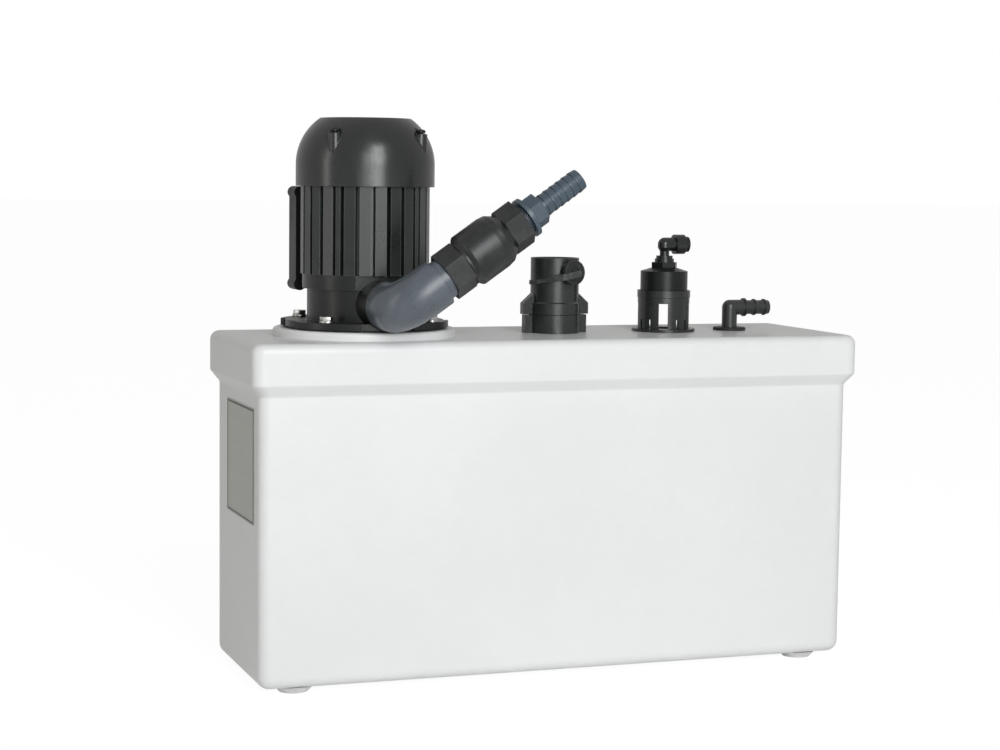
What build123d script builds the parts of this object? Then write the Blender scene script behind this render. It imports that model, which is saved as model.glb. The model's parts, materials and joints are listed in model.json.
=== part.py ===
from build123d import *
import math
import os

# Brine lifting pump: a moulded tank with a vertical column pump, a discharge line with a check valve,
# a DN 40 inlet with a bayonet, an air-gap inlet and a small overflow barb.
# Millimetres, +Z up, X along the tank, -Y is the front, Z = 0 is the plane the feet stand on.
# The origin is the centre of the overall footprint.

os.makedirs("parts", exist_ok=True)

# Driving dimensions: clearances and walls
fit_gap = 0.1             # glued, screwed and pressed joints, on the radius
run_gap = 0.05            # running fits, on the radius
slide_gap = 0.35          # loose sliding fits, on the radius
merge = 1.0               # how far joined shapes run into each other
through = 100.0           # length of cuts that leave at an open end
screw_end_gap = 1.0       # room left under a screw's end
shaft_hole_gap = 2.0      # round the shaft where nothing carries it
edge_slack = 0.01         # how far an edge may lie off the level it is picked by

# Driving dimensions: tank
tank_length = 506.0       # outside the body, below the band
tank_depth = 152.0
body_height = 229.0       # straight wall, above the feet
flare_height = 9.0        # 45 degree step under the band
band_overhang = 6.5       # how far the band stands out on each side
flare_round = 3.0         # soft edges of the step
band_height = 32.5
tank_wall = 4.0
corner_radius = 10.0      # upright corners
base_radius = 9.5         # round of the bottom edges
rim_radius = 7.5          # round of the top edges
pad_radius = 74.0         # round raised pad under the pump
pad_height = 6.6
pad_round = 2.5
pad_boss_radius = 70.0    # thick ring under the pad that holds the inserts
pad_boss_drop = 10.0

# Driving dimensions: feet
foot_height = 5.0
foot_top_radius = 16.0
foot_base_radius = 11.5
foot_from_end = 32.0      # foot centre from the body's end
foot_from_side = 20.5     # foot centre from the body's side
foot_stud_radius = 3.0
foot_stud_height = 3.0

# Driving dimensions: rating plate on the left end
plate_width = 93.0
plate_height = 91.5
plate_thickness = 0.5
plate_below_flare = 56.0   # middle of the plate below the flare
plate_forward = 11.0       # middle of the plate in front of the tank's middle

# Driving dimensions: pump flange, neck and outlet
pump_from_left = 104.5    # pump axis from the body's left end
pump_hole_radius = 50.0   # opening in the pad
gasket_thickness = 1.0
gasket_radius = 65.5
flange_thickness = 5.4
flange_radius = 64.0
lobe_radius = 67.9        # rim at the four bolt lobes
lobe_half_angle = 26.0
neck_radius = 46.5
neck_bore_radius = 40.0
neck_height = 25.5        # from the flange's top to the bracket
neck_roof = 3.0
outlet_height = 14.2      # outlet axis above the flange's top
outlet_reach = 69.0       # pump axis to the boss's end face
outlet_boss_radius = 19.5
outlet_bore_radius = 9.5
spigot_radius = 16.0      # 32 mm pipe size
spigot_length = 16.0
bolt_circle_radius = 60.0
bolt_angles = [45.0, 135.0, 225.0, 315.0]
bolt_radius = 3.0         # M6
bolt_head_flats = 10.0
bolt_head_height = 4.0
bolt_below_head = 20.0
washer_radius = 6.0
washer_thickness = 1.6
bolt_hole_radius = 3.4
insert_radius = 4.5
insert_length = 12.0
insert_hole_depth = 14.5

# Driving dimensions: column and hydraulic end
column_radius = 25.0
column_bore_radius = 22.0
column_socket_depth = 12.0
column_socket_wall = 5.0
socket_step = 2.0         # shoulder left above the column's top
casing_radius = 45.0
casing_height = 40.0
casing_from_floor = 38.0  # underside of the casing above the standing plane
casing_wall = 7.0
casing_roof = 5.0
casing_socket_height = 14.0
impeller_radius = 31.0
impeller_hub_radius = 9.0
impeller_plate = 3.0
vane_height = 7.0
vane_thickness = 2.5
vane_count = 6
vane_gap = 1.0            # between the vanes and the suction cover
vane_lean = 13.0          # degrees that a vane's middle trails its root
vane_sweep = 46.0         # degrees that its tip trails its root
vane_inset = 1.0          # tip inside the impeller's rim
impeller_nut_height = 6.0
impeller_nut_flats = 19.0
eye_radius = 15.0
cover_plate = 6.0
strainer_radius = 30.0
strainer_wall = 3.0
strainer_slot_width = 5.0
strainer_slot_count = 12
floor_gap = 5.0           # under the strainer, above the tank's floor
casing_screw_circle = 41.5
casing_screw_radius = 2.0
casing_screw_depth = 8.0
casing_screw_head = 3.6
casing_screw_head_height = 2.0
bush_radius = 9.5
bush_height = 14.0
spider_rib = 4.0
seal_radius = 13.0
seal_height = 9.0

# Driving dimensions: motor
shaft_radius = 6.0
bracket_radius = 50.4
bracket_height = 11.5
bracket_flat = 46.0       # front flat of the bracket from the axis, clear of the outlet boss
bracket_spigot = 3.0
bearing_radius = 16.0
bearing_height = 10.0
bearing_floor = 1.0       # lip that the lower bearing sits on
frame_bore_radius = 40.0  # inside the finned frame
frame_root_radius = 45.3
fin_radius = 51.9
fin_pitch = 13.85         # degrees between neighbouring fins
fin_width = 9.2
fin_groups = [(-92.0, 5), (-2.0, 7), (88.0, 5), (178.0, 7)]  # middle direction and number of fins
corner_fin_turn = 38.4    # narrow fin between two groups, from the front and back middles
corner_fin_width = 4.0
frame_visible = 70.0      # frame between the bracket and the fan cover
frame_overlap = 4.0       # frame hidden inside the fan cover's rim
box_pad_half_width = 36.0
box_pad_reach = 50.0      # flat of the terminal box pad from the axis
core_height = 43.0
core_start = 15.5         # core above the frame's lower end
core_bore_radius = 22.2
air_gap = 0.6
winding_height = 8.5
winding_inner = 25.0
winding_outer = 37.5
end_ring_height = 3.0
shield_thickness = 6.0
shield_radius = 51.0
shield_hub_radius = 20.0
shield_hub_rise = 2.0
post_radius = 3.2
post_height = 11.5
tie_circle_radius = 42.6
tie_angles = [22.5, 112.5, 202.5, 292.5]
tie_radius = 2.0
tie_nut_flats = 7.0
tie_nut_height = 3.2
tie_below_bracket = 12.0
fan_hub_radius = 9.0
fan_radius = 39.0
fan_height = 14.0
fan_blade = 2.0
fan_blade_count = 7
fan_above_shield = 6.0

# Driving dimensions: fan cover
cover_radius = 55.9
cover_height = 54.5
cover_top_radius = 36.5
cover_shoulder = 37.0     # height of the curved shoulder
cover_wall = 2.3
cover_boss_circle = 50.0
cover_boss_radius = 5.2
cover_boss_top = 12.5     # boss top below the cover's top
cover_pocket_wall = 1.3   # round the screw pockets that the bosses make in the shoulder
cover_screw_angles = [45.0, 135.0, 225.0, 315.0]
cover_screw_radius = 2.0
cover_screw_head = 3.8
cover_screw_head_height = 2.4
cover_screw_length = 30.0
grille_inner = 8.0
grille_pitch = 7.0
grille_slot = 4.0
grille_rings = 4
grille_spokes = 8
grille_spoke_width = 3.0

# Driving dimensions: terminal box behind the motor
box_half_width = 44.5
box_height = 82.6
box_above_bracket = 26.65  # middle of the box above the frame's lower end
box_depth = 18.0
box_wall = 3.0
box_corner = 6.0
lid_thickness = 6.0
lid_round = 1.5
ear_radius = 5.0
ear_inset = 3.5
lid_screw_radius = 1.8
lid_screw_head = 3.6
lid_screw_head_height = 2.0
lid_screw_length = 14.0
block_width = 42.0
block_height = 16.0
block_depth = 9.0
gland_radius = 8.0        # M16 thread
gland_hex_flats = 19.0
gland_hex_length = 7.0
gland_nut_length = 15.0
gland_bore_radius = 4.0
gland_thread_depth = 1.0

# Driving dimensions: discharge line, stations measured along it from the elbow's corner
line_angle = 35.0         # rise of the line above the horizontal
elbow_leg = 35.0
elbow_radius = 19.4
elbow_bore_radius = 12.5
elbow_bend = 22.0
elbow_socket_depth = 17.0
elbow_rim_round = 1.0
collar_radius = 16.3
collar_length = 6.5
line_bore_radius = 9.5
thread_radius = 12.7      # outside of the 3/4 inch thread
nipple_thread = 13.5
valve_hex_flats = 35.0
valve_hex_length = 18.0
valve_neck_radius = 15.5  # screwed joint between the valve's two halves
valve_neck_length = 10.0
valve_barrel_radius = 22.2
valve_barrel_length = 41.0
barrel_lip_step = 3.5     # first land of the barrel, under its full radius
barrel_lip_length = 2.0
barrel_shoulder = 3.0     # slope from the land to the full radius
barrel_taper_start = 12.0  # gentle taper before the outlet end
barrel_taper_end = 6.0
barrel_taper_step = 1.0
barrel_round = 2.0
valve_chamber_radius = 17.8
outlet_hex_flats = 33.5
outlet_hex_length = 17.0
poppet_radius = 13.0
poppet_rim = 0.5          # poppet past its seal
poppet_thickness = 3.0
poppet_seal_thickness = 1.5
poppet_stem_radius = 2.4
poppet_stem_length = 23.0
seat_gap = 0.1
guide_from_seat = 20.5
guide_length = 5.0
guide_radius = 5.5
guide_rib = 2.5
spring_radius = 7.2
spring_wire_radius = 0.6
spring_turns = 4
nozzle_thread_length = 16.0
nozzle_thread_rings = 2
thread_ring_pitch = 1.8
thread_ring_start = 0.5
thread_ring_width = 0.9
thread_depth = 0.6
nozzle_flange_radius = 16.6
nozzle_flange_thickness = 3.5
nozzle_hex_flats = 23.2
nozzle_hex_length = 11.5
nozzle_bore_radius = 6.5
barb_length = 40.0
barb_count = 6
barb_crest_radius = 9.2
barb_root_radius = 8.5
barb_land = 0.8
barb_first = 3.2

# Driving dimensions: DN 40 inlet
inlet_from_left = 269.4
inlet_hole_radius = 19.4
inlet_collar_radius = 21.4
inlet_collar_height = 15.3
inlet_tail_radius = 19.2
inlet_tail_drop = 12.0
inlet_stop_radius = 16.0  # lip under the tube that stops a pushed-in pipe
inlet_body_height = 9.5   # wide foot of the tube above the collar
inlet_cone_height = 1.2
inlet_tube_radius = 20.2
inlet_tube_height = 62.5  # top of the tube above the tank
inlet_bore_radius = 17.4
inlet_mouth_chamfer = 1.5
inlet_spigot_radius = 19.0
inlet_spigot_length = 13.0
inlet_ring_wire = 1.4
wing_reach = 28.9
wing_width = 8.0
wing_slope = 8.0
wing_inset = 1.6          # collar lugs end short of the wings
lock_gap = 0.3            # under the tube's wide foot
port_angle = -75.0        # direction of the side port, from +X
port_height = 51.0        # port axis above the tank
port_radius = 8.0
port_reach = 24.8
port_bore_radius = 6.2
plug_stem_radius = 5.8
plug_stem_length = 7.0
plug_cap_radius = 9.3
plug_cap_thickness = 3.6
plug_round = 1.0
plug_wall = 2.0
strap_thickness = 1.4
strap_height = 4.0
strap_foot_height = 3.6    # tongue where it leaves the ring
strap_lift = 0.2           # tongue's back stands this far beyond the ring
strap_end_height = 6.5
strap_level = 40.8        # middle of the strap's ring above the tank
strap_past_cap = 1.5      # how far the strap's bend stands beyond the cap's rim
strap_past_centre = 4.0   # end of the strap beyond the cap's centre
strap_end_drop = 1.0      # its end below the port's axis
strap_bend = 2.0

# Driving dimensions: air-gap inlet
airgap_from_left = 369.1
airgap_hole_radius = 17.5
cage_flange_radius = 26.8
cage_flange_thickness = 2.5
cage_radius = 22.0
cage_wall = 2.2
cage_rim_radius = 22.45   # thicker band round the cage's top
cage_rim_height = 6.0
cage_height = 34.8        # top of the cage above the tank
cage_tail_radius = 17.2
cage_tail_drop = 10.0
cage_drain_radius = 13.0
window_width = 7.7
window_height = 21.5
slit_width = 2.4
slit_height = 8.0
slit_offset = 33.0        # angle of each slit from its window
window_turn = -114.0      # direction of the first window
cup_radius = 20.0
cup_wall = 2.4
cup_height = 16.2         # straight wall above the cage
cup_sleeve = 8.0
cup_cone = 3.0
nut_radius = 11.7
nut_height = 4.5
nut_step_radius = 8.2
nut_step_height = 3.0
nut_neck_radius = 7.0
nut_neck_height = 2.5
nut_tail_radius = 6.2     # part of the nut that passes through the cup's crown
cup_crown_radius = 10.2   # flat under the nut
push_stem_radius = 4.0
push_axis_height = 73.6   # horizontal leg's axis above the tank
push_bend_radius = 5.8
push_cone_low = 5.8       # the stem widens between these depths under the horizontal axis
push_cone_high = 2.8
push_body_radius = 8.3
push_body_start = 8.6
push_body_end = 18.8
push_body_chamfer = 1.5
push_tube_radius = 5.0    # 10 mm tube
push_flow_radius = 3.0
collet_lip_radius = 6.5
collet_lip = 1.2
collet_travel = 1.2
collet_sleeve_radius = 6.0
collet_length = 7.0
stem_drop = 38.0          # drip end of the stem below the horizontal axis

# Driving dimensions: overflow barb
barb_from_left = 431.3
grommet_radius = 14.0
grommet_thickness = 2.5
grommet_hole_radius = 9.0
grommet_tail = 3.0
barb_elbow_radius = 6.5
barb_elbow_height = 19.5
barb_elbow_tail = 10.0
barb_tube_radius = 6.0
barb_tube_reach = 36.0
barb_stop_radius = 7.9
barb_ring_radius = 7.1
barb_stop_station = 12.4   # stations from the elbow's axis
barb_first_station = 22.2
barb_second_station = 31.6
barb_ring_land = 0.8
barb_ring_slope = 2.4      # from a ring's crest down to the tube
barb_stop_thickness = 1.5
barb_flow_radius = 4.4

# Driving dimensions: level switch
float_from_pump = 38.0    # stem axis from the pump axis, along +X
float_stem_radius = 4.0
float_above_casing = 6.5  # stem's lower end above the casing's socket
float_radius = 11.0
float_height = 22.0
float_travel = 40.0
float_stop_radius = 7.0
float_stop_height = 4.0

# Places that follow from the sizes
valve_front = outlet_reach + elbow_leg + valve_barrel_radius
band_back = tank_depth / 2 + band_overhang
tank_y = (valve_front - band_back) / 2
tank_left = -tank_length / 2
base_z = foot_height
flare_z = base_z + body_height
band_z = flare_z + flare_height
top_z = band_z + band_height
floor_z = base_z + tank_wall
ceiling_z = top_z - tank_wall
pump_x = tank_left + pump_from_left
pad_z = top_z + pad_height
flange_z = pad_z + gasket_thickness
seat_z = flange_z + flange_thickness
bracket_z = seat_z + neck_height
frame_z = bracket_z + bracket_height
cover_z = frame_z + frame_visible
frame_top_z = cover_z + frame_overlap
cover_top_z = cover_z + cover_height
outlet_z = seat_z + outlet_height
boss_y = tank_y - outlet_reach
line_y = boss_y - elbow_leg
inlet_x = tank_left + inlet_from_left
airgap_x = tank_left + airgap_from_left
barb_x = tank_left + barb_from_left

pump_axis = Axis((pump_x, tank_y, 0), (0, 0, 1))
inlet_axis = Axis((inlet_x, tank_y, 0), (0, 0, 1))
airgap_axis = Axis((airgap_x, tank_y, 0), (0, 0, 1))

rise = math.radians(line_angle)
line_origin = Vector(pump_x, line_y, outlet_z)
line_along = Vector(math.cos(rise), 0, math.sin(rise))
line_across = Vector(-math.sin(rise), 0, math.cos(rise))
line_axis = Axis(line_origin, line_along)
line_profile = Plane(origin=line_origin, x_dir=line_along, z_dir=(0, -1, 0))


def level(x, z):
    """Horizontal plane with its origin on the tank's middle line."""
    return Plane(origin=(x, tank_y, z))


def upright(x):
    """Upright plane along the tank, for profiles that are turned about a vertical axis."""
    return Plane(origin=(x, tank_y, 0), x_dir=(1, 0, 0), z_dir=(0, -1, 0))


def station(distance):
    """Plane square to the discharge line, at a distance from the elbow's corner."""
    return Plane(origin=line_origin + line_along * distance, x_dir=line_across, z_dir=line_along)


def tube(plane, length, outer, inner, mode=Mode.ADD):
    """Ring section pushed out from a plane."""
    with BuildSketch(plane) as section:
        Circle(outer)
        Circle(inner, mode=Mode.SUBTRACT)
    extrude(section.sketch, amount=length, mode=mode)


def disc(plane, length, radius, mode=Mode.ADD):
    """Round bar, or round hole with mode=Mode.SUBTRACT."""
    with BuildSketch(plane) as section:
        Circle(radius)
    extrude(section.sketch, amount=length, mode=mode)


def polar(radius, angle):
    """Point at a radius and an angle in degrees."""
    return radius * math.cos(math.radians(angle)), radius * math.sin(math.radians(angle))


def ring_of_discs(plane, circle, angles, length, radius, mode=Mode.ADD):
    """Equal round bars or holes on a circle."""
    with BuildSketch(plane) as section:
        for angle in angles:
            with Locations(polar(circle, angle)):
                Circle(radius)
    extrude(section.sketch, amount=length, mode=mode)


def hexagon(plane, length, flats):
    """Hexagonal bar whose corners lie on the plane's X direction."""
    with BuildSketch(plane) as section:
        RegularPolygon(radius=flats / 2, side_count=6, major_radius=False)
    extrude(section.sketch, amount=length)


def turned(plane, axis, points, mode=Mode.ADD):
    """Solid of revolution from a closed outline of (radius or station, height) points."""
    with BuildSketch(plane) as section:
        with BuildLine():
            Polyline(*points, close=True)
        make_face()
    revolve(section.sketch, axis=axis, mode=mode)


def rounded_block(length, depth, low, high, radius):
    """Block on the tank's centre with rounded upright edges."""
    with BuildSketch(level(0, low)) as section:
        RectangleRounded(length, depth, radius)
    extrude(section.sketch, amount=high - low)


def flare(length, depth, low, high, growth, radius):
    """Part of the tank wall that widens upwards."""
    with BuildSketch(level(0, low)) as narrow:
        RectangleRounded(length, depth, radius)
    with BuildSketch(level(0, high)) as wide:
        RectangleRounded(length + 2 * growth, depth + 2 * growth, radius)
    loft([narrow.sketch, wide.sketch])


def save(piece, name):
    """Label a finished piece and write it to its own file."""
    piece.part.label = name
    export_step(piece.part, f"parts/{name}.step")


# Tank: outside, cavity, pad and openings
inner_corner = corner_radius - tank_wall
inner_length = tank_length - 2 * tank_wall
inner_depth = tank_depth - 2 * tank_wall
# the flare's inner face starts higher than the outer one, so that the slope keeps the wall's thickness
flare_shift = tank_wall * (math.sqrt(2) - 1)

with BuildPart() as tank_cavity:
    rounded_block(inner_length, inner_depth, floor_z, flare_z + flare_shift, inner_corner)
    flare(inner_length, inner_depth, flare_z + flare_shift, band_z + flare_shift, band_overhang, inner_corner)
    rounded_block(inner_length + 2 * band_overhang, inner_depth + 2 * band_overhang,
                  band_z + flare_shift, ceiling_z, inner_corner)
    fillet(tank_cavity.faces().sort_by(Axis.Z)[0].edges(), base_radius - tank_wall)

with BuildPart() as tank:
    rounded_block(tank_length, tank_depth, base_z, flare_z, corner_radius)
    flare(tank_length, tank_depth, flare_z, band_z, band_overhang, corner_radius)
    rounded_block(tank_length + 2 * band_overhang, tank_depth + 2 * band_overhang,
                  band_z, top_z, corner_radius)
    fillet(tank.edges().filter_by_position(Axis.Z, flare_z - edge_slack, flare_z + edge_slack), flare_round)
    fillet(tank.edges().filter_by_position(Axis.Z, band_z - edge_slack, band_z + edge_slack), flare_round)
    fillet(tank.faces().sort_by(Axis.Z)[0].edges(), base_radius)
    fillet(tank.faces().sort_by(Axis.Z)[-1].edges(), rim_radius)
    add(tank_cavity.part, mode=Mode.SUBTRACT)
    disc(level(pump_x, top_z - merge), pad_height + merge, pad_radius)
    fillet(tank.faces().sort_by(Axis.Z)[-1].edges(), pad_round)
    disc(level(pump_x, ceiling_z - pad_boss_drop), pad_boss_drop + merge, pad_boss_radius)
    disc(level(pump_x, ceiling_z - pad_boss_drop), through, pump_hole_radius, Mode.SUBTRACT)
    ring_of_discs(level(pump_x, pad_z - insert_hole_depth), bolt_circle_radius, bolt_angles,
                  insert_hole_depth, insert_radius + run_gap, Mode.SUBTRACT)
    disc(level(inlet_x, ceiling_z - merge), through, inlet_hole_radius, Mode.SUBTRACT)
    disc(level(airgap_x, ceiling_z - merge), through, airgap_hole_radius, Mode.SUBTRACT)
    disc(level(barb_x, ceiling_z - merge), through, grommet_hole_radius, Mode.SUBTRACT)
    with BuildSketch(level(0, base_z)):
        with GridLocations(tank_length - 2 * foot_from_end, tank_depth - 2 * foot_from_side, 2, 2):
            Circle(foot_stud_radius + run_gap)
    extrude(amount=foot_stud_height + run_gap, mode=Mode.SUBTRACT)
save(tank, "tank")

with BuildPart() as feet:
    with BuildSketch(level(0, 0)):
        with GridLocations(tank_length - 2 * foot_from_end, tank_depth - 2 * foot_from_side, 2, 2):
            Circle(foot_base_radius)
    extrude(amount=foot_height,
            taper=-math.degrees(math.atan((foot_top_radius - foot_base_radius) / foot_height)))
    with BuildSketch(level(0, foot_height)):
        with GridLocations(tank_length - 2 * foot_from_end, tank_depth - 2 * foot_from_side, 2, 2):
            Circle(foot_stud_radius)
    extrude(amount=foot_stud_height)
save(feet, "feet")

with BuildPart() as rating_plate:
    with BuildSketch(Plane(origin=(tank_left, tank_y - plate_forward, flare_z - plate_below_flare),
                           x_dir=(0, -1, 0), z_dir=(-1, 0, 0))):
        RectangleRounded(plate_width, plate_height, 2 * plate_thickness)
    extrude(amount=plate_thickness)
save(rating_plate, "rating_plate")

with BuildPart() as tank_inserts:
    ring_of_discs(level(pump_x, pad_z - insert_length), bolt_circle_radius, bolt_angles, insert_length,
                  insert_radius)
    ring_of_discs(level(pump_x, pad_z - insert_length), bolt_circle_radius, bolt_angles, insert_length,
                  bolt_radius, Mode.SUBTRACT)
save(tank_inserts, "tank_inserts")

# Pump flange, neck and outlet
with BuildPart() as pump_gasket:
    tube(level(pump_x, pad_z), gasket_thickness, gasket_radius, pump_hole_radius)
    ring_of_discs(level(pump_x, pad_z), bolt_circle_radius, bolt_angles, gasket_thickness, bolt_hole_radius,
                  Mode.SUBTRACT)
save(pump_gasket, "pump_gasket")

column_top_z = seat_z - socket_step
socket_z = column_top_z - column_socket_depth
socket_radius = column_radius + fit_gap + column_socket_wall

with BuildPart() as pump_lantern:
    disc(level(pump_x, flange_z), flange_thickness, flange_radius)
    with BuildSketch(level(pump_x, flange_z)):
        for angle in bolt_angles:
            with BuildLine():
                Polyline((0, 0), polar(2 * lobe_radius, angle - lobe_half_angle),
                         polar(2 * lobe_radius, angle + lobe_half_angle), close=True)
            make_face()
        Circle(lobe_radius, mode=Mode.INTERSECT)
    extrude(amount=flange_thickness)
    disc(level(pump_x, seat_z), neck_height, neck_radius)
    disc(level(pump_x, socket_z), flange_z - socket_z, socket_radius)
    # the outlet boss ends short of the motor bracket above the neck
    with BuildSketch(Plane(origin=(pump_x, boss_y, outlet_z), x_dir=(1, 0, 0), z_dir=(0, 1, 0))):
        Circle(outlet_boss_radius)
    extrude(amount=outlet_reach - bracket_flat - slide_gap)
    with BuildSketch(Plane(origin=(pump_x, boss_y, outlet_z), x_dir=(1, 0, 0), z_dir=(0, 1, 0))):
        Circle(outlet_boss_radius)
        with Locations((0, -(outlet_boss_radius + bracket_z - outlet_z))):
            Rectangle(3 * outlet_boss_radius, 2 * outlet_boss_radius, mode=Mode.SUBTRACT)
    extrude(amount=outlet_reach - neck_bore_radius)
    with BuildSketch(Plane(origin=(pump_x, boss_y, outlet_z), x_dir=(1, 0, 0), z_dir=(0, -1, 0))):
        Circle(spigot_radius)
    extrude(amount=spigot_length)
    # wet chamber, passage to the column, outlet bore
    disc(level(pump_x, seat_z), neck_height - neck_roof, neck_bore_radius, Mode.SUBTRACT)
    disc(level(pump_x, socket_z), column_top_z - socket_z, column_radius + fit_gap, Mode.SUBTRACT)
    disc(level(pump_x, socket_z), seat_z - socket_z, column_bore_radius, Mode.SUBTRACT)
    with BuildSketch(Plane(origin=(pump_x, boss_y - spigot_length, outlet_z),
                           x_dir=(1, 0, 0), z_dir=(0, 1, 0))):
        Circle(outlet_bore_radius)
    extrude(amount=spigot_length + outlet_reach, mode=Mode.SUBTRACT)
    # seal seat, bolt holes and the threads for the motor's tie bolts
    disc(level(pump_x, seat_z), neck_height, seal_radius + fit_gap, Mode.SUBTRACT)
    ring_of_discs(level(pump_x, flange_z), bolt_circle_radius, bolt_angles,
                  flange_thickness, bolt_hole_radius, Mode.SUBTRACT)
    ring_of_discs(level(pump_x, bracket_z - tie_below_bracket), tie_circle_radius, tie_angles,
                  tie_below_bracket, tie_radius + run_gap, Mode.SUBTRACT)
    disc(level(pump_x + float_from_pump, flange_z), flange_thickness,
         float_stem_radius + fit_gap, Mode.SUBTRACT)
save(pump_lantern, "pump_lantern")

with BuildPart() as flange_bolts:
    ring_of_discs(level(pump_x, seat_z + washer_thickness - bolt_below_head), bolt_circle_radius, bolt_angles,
                  bolt_below_head, bolt_radius - run_gap)
    with BuildSketch(level(pump_x, seat_z + washer_thickness)):
        with PolarLocations(bolt_circle_radius, len(bolt_angles), start_angle=bolt_angles[0]):
            RegularPolygon(radius=bolt_head_flats / 2, side_count=6, major_radius=False)
    extrude(amount=bolt_head_height)
save(flange_bolts, "flange_bolts")

with BuildPart() as flange_washers:
    ring_of_discs(level(pump_x, seat_z), bolt_circle_radius, bolt_angles, washer_thickness, washer_radius)
    ring_of_discs(level(pump_x, seat_z), bolt_circle_radius, bolt_angles, washer_thickness, bolt_hole_radius,
                  Mode.SUBTRACT)
save(flange_washers, "flange_washers")

# Column and hydraulic end
strainer_z = floor_z + floor_gap
casing_z = casing_from_floor
casing_top_z = casing_z + casing_height
casing_socket_z = casing_top_z + socket_step
casing_bore_radius = casing_radius - casing_wall
cover_plate_z = casing_z - cover_plate
hub_radius = bush_radius + fit_gap + spider_rib

with BuildPart() as pump_column:
    tube(level(pump_x, casing_socket_z), column_top_z - casing_socket_z, column_radius, column_bore_radius)
save(pump_column, "pump_column")

with BuildPart() as pump_casing:
    disc(level(pump_x, casing_z), casing_height, casing_radius)
    disc(level(pump_x, casing_top_z), casing_socket_height, socket_radius)
    disc(level(pump_x, casing_z), casing_height - casing_roof, casing_bore_radius, Mode.SUBTRACT)
    disc(level(pump_x, casing_z), casing_height + casing_socket_height, column_bore_radius, Mode.SUBTRACT)
    disc(level(pump_x, casing_socket_z), casing_socket_height, column_radius + fit_gap, Mode.SUBTRACT)
    # three ribs carry the hub that guides the shaft
    with BuildSketch(level(pump_x, casing_top_z - casing_roof)):
        with PolarLocations((column_bore_radius + merge) / 2, 3, start_angle=90):
            Rectangle(column_bore_radius + merge, spider_rib)
        Circle(hub_radius)
    extrude(amount=casing_roof + socket_step)
    disc(level(pump_x, casing_top_z - casing_roof), bush_height, hub_radius)
    disc(level(pump_x, casing_top_z - casing_roof), bush_height, bush_radius + fit_gap, Mode.SUBTRACT)
    ring_of_discs(level(pump_x, casing_z), casing_screw_circle, bolt_angles, casing_screw_depth,
                  casing_screw_radius + run_gap, Mode.SUBTRACT)
save(pump_casing, "pump_casing")

with BuildPart() as shaft_bush:
    tube(level(pump_x, casing_top_z - casing_roof), bush_height, bush_radius, shaft_radius + run_gap)
save(shaft_bush, "shaft_bush")

with BuildPart() as suction_cover:
    disc(level(pump_x, cover_plate_z), cover_plate, casing_radius)
    disc(level(pump_x, strainer_z), cover_plate_z - strainer_z, strainer_radius)
    disc(level(pump_x, strainer_z + strainer_wall), cover_plate_z - strainer_z - strainer_wall,
         strainer_radius - strainer_wall, Mode.SUBTRACT)
    disc(level(pump_x, cover_plate_z), cover_plate, eye_radius, Mode.SUBTRACT)
    with BuildSketch(level(pump_x, strainer_z + strainer_wall)):
        with PolarLocations(strainer_radius - strainer_wall / 2, strainer_slot_count):
            Rectangle(2 * strainer_wall, strainer_slot_width)
    extrude(amount=cover_plate_z - strainer_z - 2 * strainer_wall, mode=Mode.SUBTRACT)
    ring_of_discs(level(pump_x, cover_plate_z), casing_screw_circle, bolt_angles, cover_plate,
                  casing_screw_radius + fit_gap, Mode.SUBTRACT)
save(suction_cover, "suction_cover")

with BuildPart() as casing_screws:
    ring_of_discs(level(pump_x, cover_plate_z), casing_screw_circle, bolt_angles,
                  cover_plate + casing_screw_depth - screw_end_gap, casing_screw_radius)
    ring_of_discs(level(pump_x, cover_plate_z - casing_screw_head_height), casing_screw_circle, bolt_angles,
                  casing_screw_head_height, casing_screw_head)
save(casing_screws, "casing_screws")

with BuildPart() as shaft_seal:
    tube(level(pump_x, bracket_z - seal_height), seal_height, seal_radius, shaft_radius + run_gap)
save(shaft_seal, "shaft_seal")

# Motor, from the bracket up
core_z = frame_z + core_start
core_top_z = core_z + core_height
shield_z = frame_top_z
shield_top_z = shield_z + shield_thickness
upper_bearing_z = shield_top_z - bearing_floor - bearing_height
fan_z = shield_top_z + fan_above_shield
fan_top_z = fan_z + fan_height
box_z = frame_z + box_above_bracket

with BuildPart() as motor_bracket:
    with BuildSketch(level(pump_x, bracket_z)):
        Circle(bracket_radius)
        Rectangle(2 * bracket_radius, 2 * bracket_flat, mode=Mode.INTERSECT)
    extrude(amount=bracket_height)
    tube(level(pump_x, frame_z), bracket_spigot, frame_bore_radius - fit_gap, winding_outer)
    disc(level(pump_x, bracket_z + bearing_floor), bearing_height, bearing_radius + run_gap, Mode.SUBTRACT)
    disc(level(pump_x, bracket_z), bracket_height, shaft_radius + shaft_hole_gap, Mode.SUBTRACT)
    ring_of_discs(level(pump_x, bracket_z), tie_circle_radius, tie_angles,
                  bracket_height, tie_radius + fit_gap, Mode.SUBTRACT)
save(motor_bracket, "motor_bracket")

with BuildPart() as lower_bearing:
    tube(level(pump_x, bracket_z + bearing_floor), bearing_height, bearing_radius, shaft_radius + run_gap)
save(lower_bearing, "lower_bearing")

fins = []
for middle, count in fin_groups:
    fins += [(middle + (fin - (count - 1) / 2) * fin_pitch, fin_width) for fin in range(count)]
for middle in (fin_groups[0][0], fin_groups[2][0]):
    fins += [(middle + side * corner_fin_turn, corner_fin_width) for side in (-1, 1)]

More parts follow.
